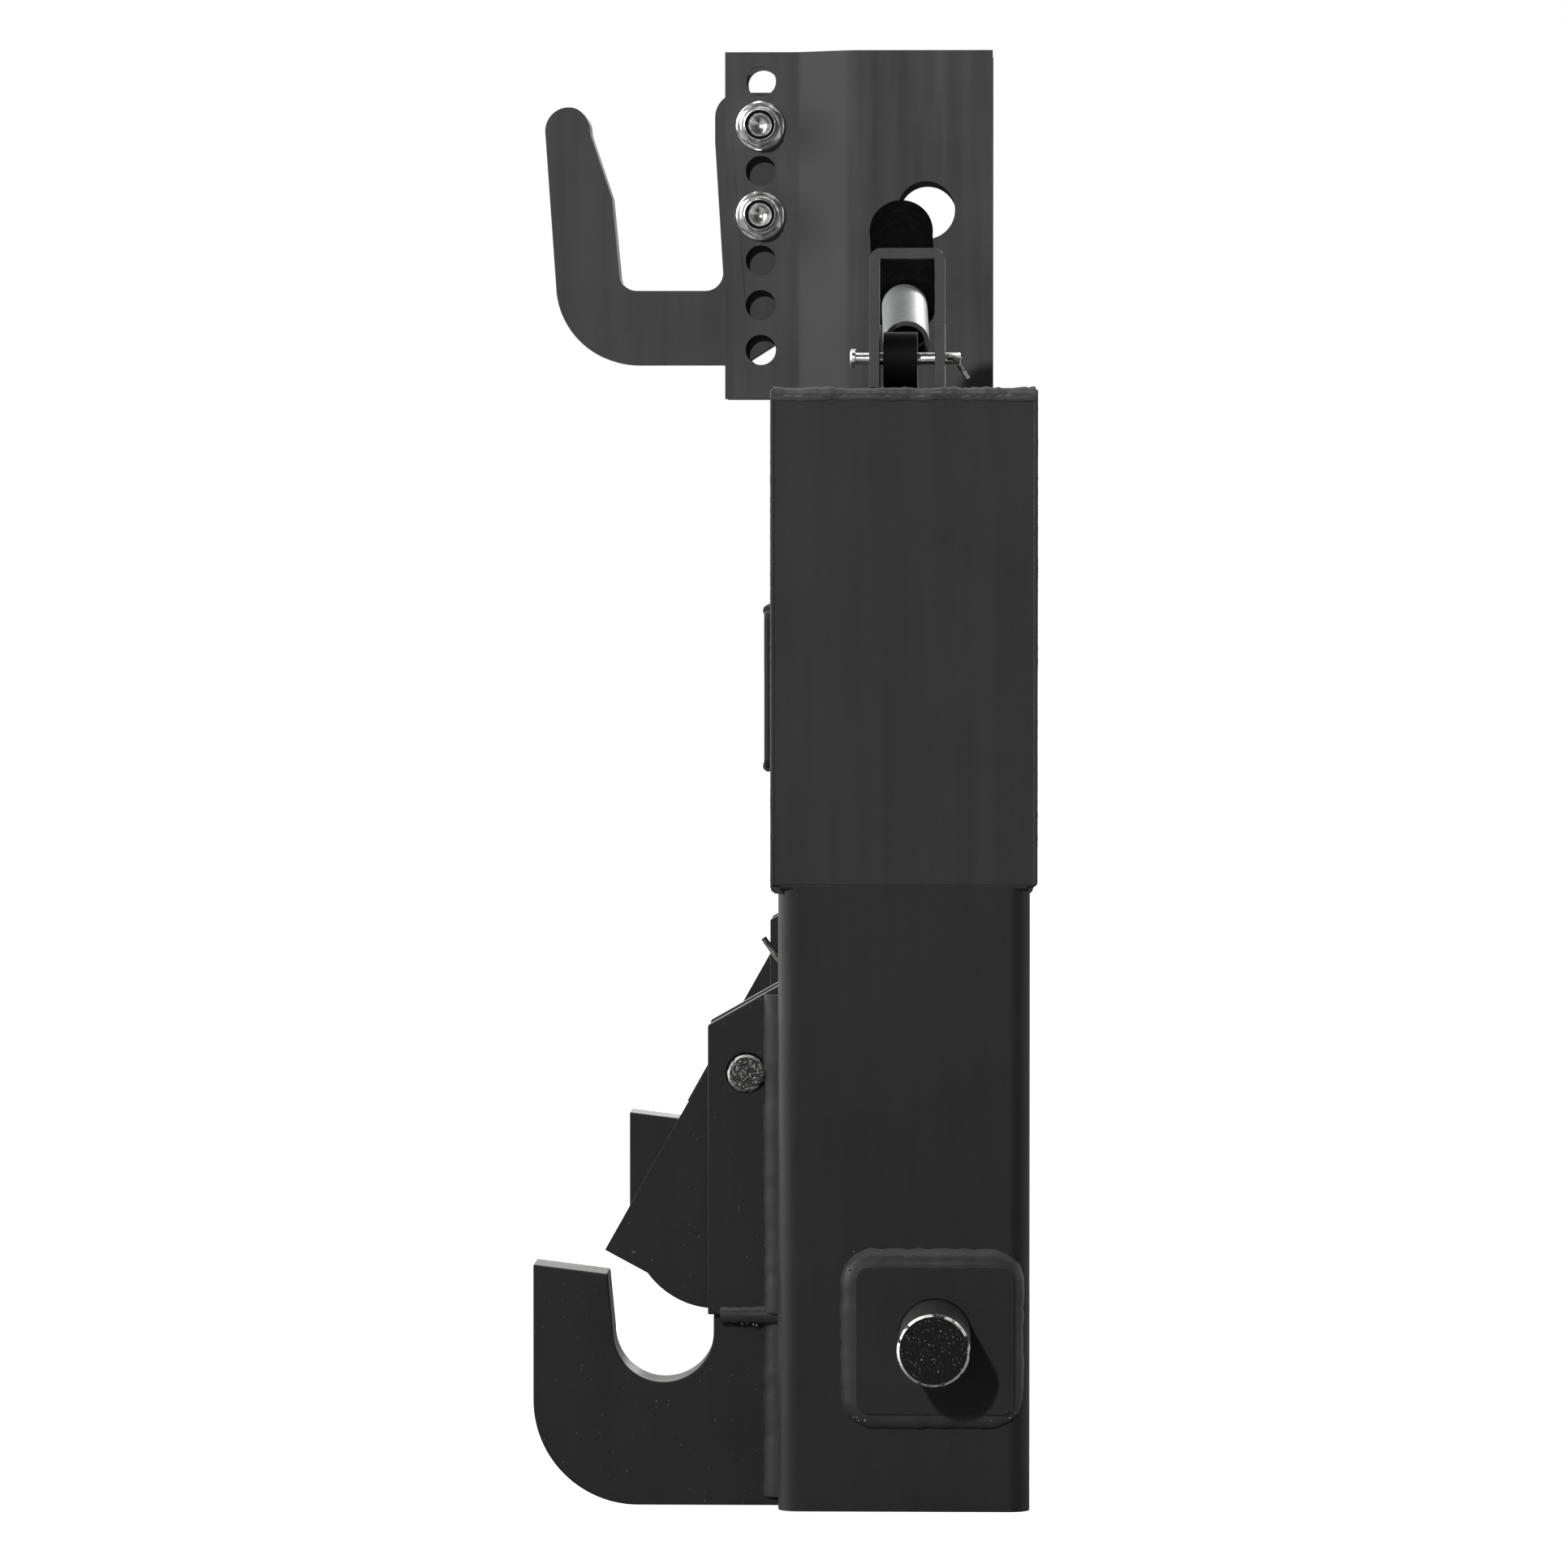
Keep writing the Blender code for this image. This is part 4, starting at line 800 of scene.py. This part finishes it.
@dataclass
class Crossbeam:
    """Welded box beam with its end caps, pads, the spring seats inside and the beads round the caps.

    Sizes are in millimetres.
    """

    corner_edge: float = 1.0
    cap_edge: float = 1.2
    pad_edge: float = 0.8
    top_beads: tuple[float, float] = (2.4, 1.92)
    top_falls: tuple[float, float] = (1.0, 2.4)
    side_bead: float = 1.0
    ground_seam: float = 1.5
    leg_bead: float = 3.0
    leg_insets: tuple[float, float] = (1.5, 2.0)
    tack: float = 2.2
    tack_reach: tuple[float, float] = (0.08, 0.92)

    def build(self) -> None:
        """Makes the beam's visible pieces."""
        refined("crossbeam", Finish.BEAM, self.corner_edge)
        for side in Side:
            refined(f"{side.word}_beam_end_cap", Finish.BEAM, self.cap_edge)
            refined(f"{side.word}_beam_pad", Finish.BEAM, self.pad_edge)
            dress(f"{side.word}_spring_seat", Finish.BLACK)
            self.weld_cap(side)
            self.weld_leg(side)
            self.weld_pad(side)

    def weld_cap(self, side: Side) -> None:
        """Lays an end cap's beads: one up each side, two along the top and a flush seam at the foot."""
        cap_low, cap_high = span(f"{side.word}_beam_end_cap")
        face, _ = side.faces(f"{side.word}_beam_end_cap")
        seam = face - side.value * self.side_bead * MILLIMETRE / 2
        inset = self.side_bead * MILLIMETRE
        left, right = cap_low.x + inset, cap_high.x - inset
        foot, top = cap_low.z + inset, cap_high.z - inset
        corners = [Vector((across, seam, height)) for across, height in (
            (left, foot), (left, top), (right, top), (right, foot))]
        for index in (0, 2):
            bead(f"{side.word}_cap_side_bead_{index}", "crossbeam", corners[index:index + 2], self.side_bead,
                 11 + index + side.value, 0.1)
        for index, (radius, fall) in enumerate(zip(self.top_beads, self.top_falls)):
            drop = Vector((0, 0, fall * MILLIMETRE))
            ends = [corners[1] - drop, corners[2] - drop]
            bead(f"{side.word}_cap_top_bead_{index}", "crossbeam", ends, radius,
                 21 + 7 * index + side.value, 0.3, finish=Finish.RIDGE)
        depth = face - side.value * self.ground_seam * MILLIMETRE
        edge = self.leg_bead * MILLIMETRE
        ends = [Vector((across, depth, foot - inset)) for across in (left + edge, right - edge)]
        bead(f"{side.word}_ground_seam", "crossbeam", ends, self.ground_seam, 51 + side.value, 0.02,
             finish=Finish.LEG)

    def weld_leg(self, side: Side) -> None:
        """Lays the bead round three sides of a leg's top, all but the ground outer face."""
        leg_low, leg_high = span(f"{side.word}_leg")
        outer, inner = side.faces(f"{side.word}_leg")
        level = low("crossbeam").z
        right = leg_high.x - self.leg_insets[0] * MILLIMETRE
        edge = outer - self.leg_insets[1] * MILLIMETRE * side.value
        corners = [Vector((across, along, level)) for across, along in (
            (leg_low.x, edge), (leg_low.x, inner), (right, inner), (right, edge))]
        bead(f"{side.word}_leg_top_bead", "crossbeam", corners, self.leg_bead, 31 + side.value)

    def weld_pad(self, side: Side) -> None:
        """Lays the tacks above and below a pad."""
        pad_low, pad_high = span(f"{side.word}_beam_pad")
        for index, level in enumerate((pad_low.z, pad_high.z)):
            start, end = (Vector((pad_high.x - MILLIMETRE, along, level)) for along in (pad_low.y, pad_high.y))
            ends = [start.lerp(end, share) for share in self.tack_reach]
            bead(f"{side.word}_pad_tack_{index}", "crossbeam", ends, self.tack, 41 + index + side.value)


@dataclass
class Leg:
    """Square tube under one end of the beam, with its lift pin and the welded plate round it.

    Sizes are in millimetres. The drops lie at a share of the bead's height.
    """

    side: Side
    tube_edge: float = 0.9
    plate_edge: float = 1.2
    plate_bead: float = 6.5
    plate_turn: float = 6.0
    plate_inset: float = 2.5
    drop_share: float = 0.8

    def build(self) -> None:
        """Makes the leg's visible pieces."""
        word = self.side.word
        refined(f"{word}_leg", Finish.LEG, self.tube_edge)
        refined(f"{word}_lift_pin_plate", Finish.LEG, self.plate_edge)
        self.weld_plate()
        self.lift_pin()

    def weld_plate(self) -> None:
        """Lays the heavy bead round the plate and the spatter at its corners."""
        word = self.side.word
        plate_low, plate_high = span(f"{word}_lift_pin_plate")
        _, root = self.side.faces(f"{word}_lift_pin_plate")
        turn = self.plate_turn * MILLIMETRE
        left, right = plate_low.x, plate_high.x - self.plate_inset * MILLIMETRE
        foot, top = plate_low.z, plate_high.z
        path = []
        for across, height, start in ((left + turn, top - turn, 180), (right - turn, top - turn, 90),
                                      (right - turn, foot + turn, 0), (left + turn, foot + turn, -90)):
            for degrees in range(start, start - 91, -30):
                angle = math.radians(degrees)
                path.append(Vector((across + turn * math.cos(angle), root, height + turn * math.sin(angle))))
        bead(f"{word}_plate_bead", f"{word}_leg", path, self.plate_bead, 51 + self.side.value, 0.07,
             closed=True)
        face = root + self.side.value * self.plate_bead * self.drop_share * MILLIMETRE
        places = [Vector((across, face, height)) for across in (left, right) for height in (foot, top)]
        spatter(f"{word}_plate_spatter", f"{word}_leg", places, 61 + self.side.value)

    def lift_pin(self) -> None:
        """Turns the lift pin, with a sawn end, a rubbed chamfer and a painted round side."""
        word = self.side.word
        pin_low, pin_high = span(f"{word}_lift_pin")
        centre = middle(f"{word}_lift_pin")
        radius = (pin_high.x - pin_low.x) / 2 / MILLIMETRE
        length = (pin_high.y - pin_low.y) / MILLIMETRE
        _, root = self.side.faces(f"{word}_lift_pin")
        place = Vector((centre.x, root, centre.z))
        profile = [(0, 0), (radius, 0), (radius, length - 1.2), (radius - 0.4, length - 0.5),
                   (radius - 1.0, length), (0, length)]
        pin = lathe(f"{word}_turned_lift_pin", profile, place, Vector((0, self.side.value, 0)), 64)
        coat(pin, Finish.SAWN)
        carry(pin, f"{word}_lift_pin")


@dataclass
class LowerHook:
    """Flame-cut hook with its cheeks, latch, latch pin and the beads that hold it to the leg.

    Sizes are in millimetres: the gaps at the beads' ends, and how far the drops lie from a cheek's corner.
    """

    side: Side
    leg_bead: float = 6.5
    cheek_bead: float = 3.3
    hook_gap: float = 2.0
    cheek_gaps: tuple[float, float] = (1.0, 4.0)
    foot_gap: float = 5.0
    splash: tuple[float, float] = (12.0, 3.0)
    drop_spread: float = 3.0

    def build(self) -> None:
        """Makes the hook's visible pieces."""
        word = self.side.word
        for name, edge in (("lower_hook", 0.7), ("outer_latch_cheek", 0.6), ("inner_latch_cheek", 0.6),
                           ("latch", 0.7)):
            refined(f"{word}_{name}", Finish.HOOK, edge)
        refined(f"{word}_latch_pivot_pin", Finish.LATCH_PIN, 0.35)
        dress(f"{word}_latch_hairpin", Finish.SPRING)
        self.weld()

    def weld(self) -> None:
        """Lays the upright beads of the hook and the cheeks along the leg, and the cheeks' foot beads."""
        word = self.side.word
        wall = low(f"{word}_leg").x
        start = low(f"{word}_leg").z + self.hook_gap * MILLIMETRE
        rise, fall, ahead, below = (size * MILLIMETRE for size in (*self.cheek_gaps, *self.splash))
        hook = f"{word}_lower_hook"
        for index, face in enumerate(corner.y for corner in span(hook)):
            cheek = f"{word}_{'outer' if (index == 0) == (self.side is Side.RIGHT) else 'inner'}_latch_cheek"
            cheek_low, cheek_high = span(cheek)
            out, level, top = (cheek_low, cheek_high)[index].y, cheek_low.z, cheek_high.z - fall
            tip = cheek_low.x + self.foot_gap * MILLIMETRE
            runs = (("hook", (wall, face, start), (wall, face, level), self.leg_bead, 71, 0.08),
                    ("cheek", (wall, out, level + rise), (wall, out, top), self.leg_bead, 81, 0.08),
                    ("cheek_foot", (tip, out, level), (wall, out, level), self.cheek_bead, 101, 0.12))
            for name, *ends, radius, seed, waver in runs:
                bead(f"{word}_{name}_bead_{index}", hook, [Vector(end) for end in ends], radius,
                     seed + index + self.side.value, waver)
            places = [Vector((wall - ahead, out, level - below))]
            spatter(f"{word}_hook_spatter_{index}", hook, places, 111 + index + self.side.value,
                    self.drop_spread)


@dataclass
class PullGear:
    """Pull rod with its pins, collar and return spring."""

    side: Side

    def build(self) -> None:
        """Dresses the gear inside the leg and the beam."""
        word = self.side.word
        dress(f"{word}_pull_rod", Finish.BLACK)
        self.spring()
        for name in ("spring_collar", "latch_rod_pin", "crank_pin"):
            dress(f"{word}_{name}", Finish.ZINC)

    def spring(self) -> None:
        """Makes the return spring's visible piece from its CAD node, shaded smooth, with a mesh of its own."""
        node, slide = f"{self.side.word}_return_spring", f"{self.side.word}_rod_slide"
        wire = refined(node, Finish.SPRING, 0, rounds=0)
        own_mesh(wire)


@dataclass
class ReleaseLever:
    """Hand lever in its bent strap bracket, with a moulded grip of diamond ribs.

    The grip's sizes are in millimetres. Its ribs leave the two ends plain.
    """

    side: Side
    radius: float = 13.4
    length: float = 134.0
    plain_end: float = 4.0
    ribs: int = 60
    rib_pitch: float = 2.2
    rib_depth: float = 0.6

    def build(self) -> None:
        """Makes the lever's visible pieces."""
        word = self.side.word
        for name, finish, edge in (("bracket", Finish.BRACKET, 0.5), ("knuckle", Finish.BLACK, 0.5),
                                   ("tube", Finish.TUBE, 0.2), ("pivot_pin", Finish.ZINC, 0.3)):
            refined(f"{word}_lever_{name}", finish, edge)
        dress(f"{word}_lever_cotter", Finish.SPRING)
        self.grip()

    def grip(self) -> None:
        """Spins the grip and presses every second point of its wall in, which leaves diamond ribs."""
        word = self.side.word
        node = f"{word}_lever_grip"
        axis = (middle(node) - middle(f"{word}_lever_tube")).normalized()
        place = middle(node) - axis * self.length / 2 * MILLIMETRE
        radius, long = self.radius, self.length
        ribbed = long - 2 * self.plain_end
        rings = round(ribbed / self.rib_pitch)
        gap = ribbed / rings
        profile = [(0, 0), (radius - 2.4, 0), (radius - 1.2, 1.2)]
        profile += [(radius - 0.2, self.plain_end + index * gap) for index in range(rings + 1)]
        profile += [(radius, long - 3.2), (radius, long - 1.8), (radius - 0.7, long - 0.6),
                    (radius - 2.6, long), (0, long)]
        grip = lathe(f"{word}_ribbed_grip", profile, Vector(), Vector((0, 0, 1)), self.ribs)
        select_only(grip)
        bpy.ops.object.mode_set(mode="EDIT")
        bpy.ops.mesh.select_mode(type="VERT")
        mesh = bmesh.from_edit_mesh(grip.data)
        for point in mesh.verts:
            ring = (point.co.z / MILLIMETRE - self.plain_end) / gap
            step = math.atan2(point.co.y, point.co.x) / (math.tau / self.ribs)
            on_wall = -0.5 < ring < rings - 0.5
            point.select_set(on_wall and (round(ring) + round(step)) % 2 == 0)
        bmesh.update_edit_mesh(grip.data)
        bpy.ops.transform.shrink_fatten(value=-self.rib_depth * MILLIMETRE)
        bpy.ops.object.mode_set(mode="OBJECT")
        grip = stand(grip, grip.name, place, axis)
        coat(grip, Finish.RUBBER)
        carry(grip, node)


@dataclass
class Tower:
    """Two joggled plates welded on the beam, with the top hook bolted between them.

    Sizes are in millimetres, and places on the hook's tip are X and Z in metres.
    """

    washer_radius: float = 11.0
    flats: float = 18.0
    head_height: float = 7.5
    collar_radius: float = 7.5
    collar_height: float = 3.5
    bolt_radius: float = 6.0
    foot_bead: float = 2.4
    foot_start: tuple[float, float] = (2.0, 6.0)
    tip_middle: float = -0.0996
    tip_share: float = 0.88
    shoulder: tuple[float, float] = (-0.0896, 0.566)
    shoulder_reach: float = 5.0
    knee: tuple[float, float] = (-0.0803, 0.5382)

    def build(self) -> None:
        """Makes the tower's visible pieces."""
        for side in Side:
            refined(f"{side.word}_tower_plate", Finish.TOWER, 0.5)
            self.weld(side)
        refined("top_hook", Finish.TOP_HOOK, 1.0, reshape=self.slim_tip)
        for word in ("lower", "upper"):
            self.bolt(word)
            self.nut(word)
            for side in Side:
                self.washer(f"{side.word}_{word}_bolt_washer", side)

    def weld(self, side: Side) -> None:
        """Lays the bead at a tower plate's foot on the beam."""
        face, _ = side.faces(f"{side.word}_tower_plate")
        beam_low, beam_high = span("crossbeam")
        along, inwards = (size * MILLIMETRE for size in self.foot_start)
        ends = [Vector((beam_low.x + along, face - side.value * inwards, beam_high.z)),
                Vector((high(f"{side.word}_tower_plate").x, face, beam_high.z))]
        bead(f"{side.word}_tower_foot_bead", "crossbeam", ends, self.foot_bead, 91 + side.value)

    def bolt(self, word: str) -> None:
        """Turns a bolt with a countersunk end and adds its hexagon head."""
        node = f"{word}_hook_bolt"
        centre, foot, axis = middle(node), low(node).y, Vector((0, 1, 0))
        head = high(node).y - self.head_height * MILLIMETRE
        long, radius = (head - foot) / MILLIMETRE, self.bolt_radius
        profile = [(0, long), (radius, long), (radius, 2.0), (radius - 0.7, 0.3), (radius - 1.0, 0),
                   (radius - 1.6, 0), (radius - 1.9, 0.3), (3.4, 1.1), (2.5, 1.8), (1.3, 2.3), (0, 2.5)]
        shank = lathe(f"{word}_turned_bolt", profile, Vector((centre.x, foot, centre.z)), axis)
        place = Vector((centre.x, head, centre.z))
        cap = hexagon(f"{word}_bolt_head", self.flats, self.head_height, place, axis)
        for piece in (shank, cap):
            coat(piece, Finish.ZINC)
        carry(shank, node)
        add_on(cap, node)

    def slim_tip(self, mesh: bmesh.types.BMesh) -> None:
        """Narrows the hook's tip on its inner side and draws the edge below it straight."""
        bend = self.shoulder[1] - self.shoulder_reach * MILLIMETRE
        for vert in mesh.verts:
            across, level = vert.co.x, vert.co.z
            if level < self.knee[1] or not self.tip_middle < across < self.knee[0] + MILLIMETRE:
                continue
            if level > self.shoulder[1]:
                vert.co.x = self.tip_middle + (across - self.tip_middle) * self.tip_share
            else:
                vert.co.x, vert.co.z = self.shoulder if level > bend else self.knee

    def nut(self, word: str) -> None:
        """Makes a lock nut: hexagon foot, rounded collar and a black insert ring, painted shade in the groove.
        """
        node = f"{word}_hook_nut"
        centre, foot = middle(node), high(node).y
        total = (foot - low(node).y) / MILLIMETRE
        tall = total - self.collar_height
        place, out = Vector((centre.x, foot, centre.z)), Vector((0, -1, 0))
        body = hexagon(f"{word}_nut_hexagon", self.flats, tall, place, out)
        rim, bore = self.collar_radius, self.bolt_radius + 0.15
        profile = [(bore, 0.5), (rim, 0.5), (rim, total - 1.1), (rim - 0.3, total - 0.3), (rim - 0.6, total),
                   (rim - 0.9, total), (bore, total - 1.4), (bore, 0.5)]
        collar = lathe(f"{word}_nut_collar", profile, place, out)
        # The black ring stands for the nylon insert and darkens the groove round the bolt's end as painted
        # shade.
        low_rim, high_rim = total - 1.9, total - 1.5
        seal_and_groove_shade = [(5.2, low_rim), (7.0, low_rim), (7.0, high_rim), (5.2, high_rim), (5.2, low_rim)]
        insert_and_groove_shade = lathe(f"{word}_nut_insert", seal_and_groove_shade, place, out)
        for piece in (body, collar):
            coat(piece, Finish.ZINC)
        coat(insert_and_groove_shade, Finish.BLACK)
        carry(body, node)
        add_on(collar, node)
        add_on(insert_and_groove_shade, node)

    def washer(self, node: str, side: Side) -> None:
        """Turns a flat washer with a rolled rim."""
        centre = middle(node)
        thick = (high(node).y - low(node).y) / MILLIMETRE
        _, foot = side.faces(node)
        rim, bore = self.washer_radius, self.bolt_radius + 0.2
        profile = [(bore, 0), (rim, 0), (rim, thick - 0.5), (rim - 0.5, thick), (bore, thick), (bore, 0)]
        ring = lathe(f"turned_{node}", profile, Vector((centre.x, foot, centre.z)), Vector((0, side.value, 0)))
        coat(ring, Finish.ZINC)
        carry(ring, node)


# Studio


@dataclass
class Studio:
    """Pale floor, soft daylight with one hard sun, and the photograph's camera."""

    camera_place: tuple[float, float, float] = (0.1053, -3.788, 0.4082)
    camera_direction: tuple[float, float, float] = (-297, 10348, -364)
    focal_pixels: float = 10358.6
    sensor_width: float = 36.0
    floor_size: float = 30.0
    floor_level: float = -0.0005

    def build(self) -> None:
        """Makes the floor, the lights, the world and the camera."""
        self.floor()
        self.sun("key_sun", (0.178, 0.96, -0.32), 2.25, 1.5)
        self.sun("back_fill", (-0.3, -0.85, -0.4), 2.6, 12)
        self.sun("top_fill", (0.15, 0.02, -1.0), 1.6, 12)
        self.sun("hook_side_fill", (1.0, 0.15, -0.35), 0.4, 50)
        self.sun("tractor_side_fill", (-1.0, -0.05, -0.25), 0.9, 20)
        self.world()
        self.camera()
        bpy.context.scene.view_settings.view_transform = "Standard"

    def floor(self) -> None:
        """Makes the pale floor, which shows as white and keeps the hitch's shadow."""
        deselect()
        bpy.ops.mesh.primitive_plane_add(size=self.floor_size, location=(0, 0, self.floor_level))
        floor = settle(bpy.context.object, "floor")
        material, tree, _ = new_material("pale_floor")
        light = add_node(tree, "LightPath").outputs
        mirrored = ramp(tree, light["Is Glossy Ray"], 0, 1, 1.0, 0.1)
        seen = combine(tree, "MULTIPLY", self.seen_directly(tree), mirrored)
        paper = add_node(tree, "BsdfDiffuse", {"Color": (0.4, 0.4, 0.4, 1)})
        glow = add_node(tree, "Emission", {"Strength": ramp(tree, seen, 0, 1, 0, 1.0)})
        both = add_node(tree, "AddShader", {0: paper.outputs[0], 1: glow.outputs[0]})
        add_node(tree, "OutputMaterial", {0: both.outputs[0]})
        floor.data.materials.append(material)

    def seen_directly(self, tree: NodeTree) -> Socket:
        """Socket that is 1 for rays from the camera, a gloss or a glass, and 0 for others."""
        path = add_node(tree, "LightPath").outputs
        first = combine(tree, "MAXIMUM", path["Is Camera Ray"], path["Is Glossy Ray"])
        return combine(tree, "MAXIMUM", first, path["Is Transmission Ray"])

    def sun(self, name: str, direction: tuple[float, float, float], strength: float, degrees: float) -> None:
        """Adds a sun lamp.

        Args:
            name: The lamp's name.
            direction: Where its light goes.
            strength: Its strength.
            degrees: How wide it looks, which softens its shadows.
        """
        lamp = bpy.data.lights.new(name, "SUN")
        lamp.energy = strength
        lamp.angle = math.radians(degrees)
        new_object(name, lamp).rotation_euler = Vector(direction).to_track_quat("-Z", "Y").to_euler()

    def world(self) -> None:
        """Makes a soft grey sky, white to the camera, with a bright window at -X that the gloss sees."""
        world = bpy.data.worlds.new("studio_sky")
        world.use_nodes = True
        tree = world.node_tree
        tree.nodes.clear()
        glossy = add_node(tree, "LightPath").outputs["Is Glossy Ray"]
        direction = add_node(tree, "TexCoord").outputs["Generated"]
        way = add_node(tree, "SeparateXYZ", {0: direction}).outputs
        backdrop = ramp(tree, way[1], -0.3, 0.4, 0.12, 1.0)
        window = ramp(tree, way[0], -0.5, -0.85, 0.0, 11.0)
        reflected = combine(tree, "MAXIMUM", backdrop, window)
        seen = ramp(tree, self.seen_directly(tree), 0, 1, 0.08, 1.0)
        strength = add_node(tree, "Mix", {0: glossy, 2: seen, 3: reflected}).outputs[0]
        glow = add_node(tree, "Background", {"Strength": strength, "Color": (1, 1, 1, 1)})
        add_node(tree, "OutputWorld", {0: glow.outputs[0]})
        bpy.context.scene.world = world

    def camera(self) -> None:
        """Places the camera where the photograph was taken from."""
        lens = bpy.data.cameras.new("photo_camera")
        lens.sensor_width = self.sensor_width
        lens.lens = self.sensor_width * self.focal_pixels / PHOTO_PIXELS
        holder = new_object("photo_camera", lens)
        holder.location = self.camera_place
        holder.rotation_euler = Vector(self.camera_direction).to_track_quat("-Z", "Y").to_euler()
        bpy.context.scene.camera = holder


def main() -> None:
    """Builds the hitch's pieces in order, then the studio."""
    Crossbeam().build()
    Tower().build()
    for side in Side:
        Leg(side).build()
        LowerHook(side).build()
        PullGear(side).build()
        ReleaseLever(side).build()
    Studio().build()


if __name__ == "__main__":
    logging.basicConfig(level=logging.INFO)
    main()
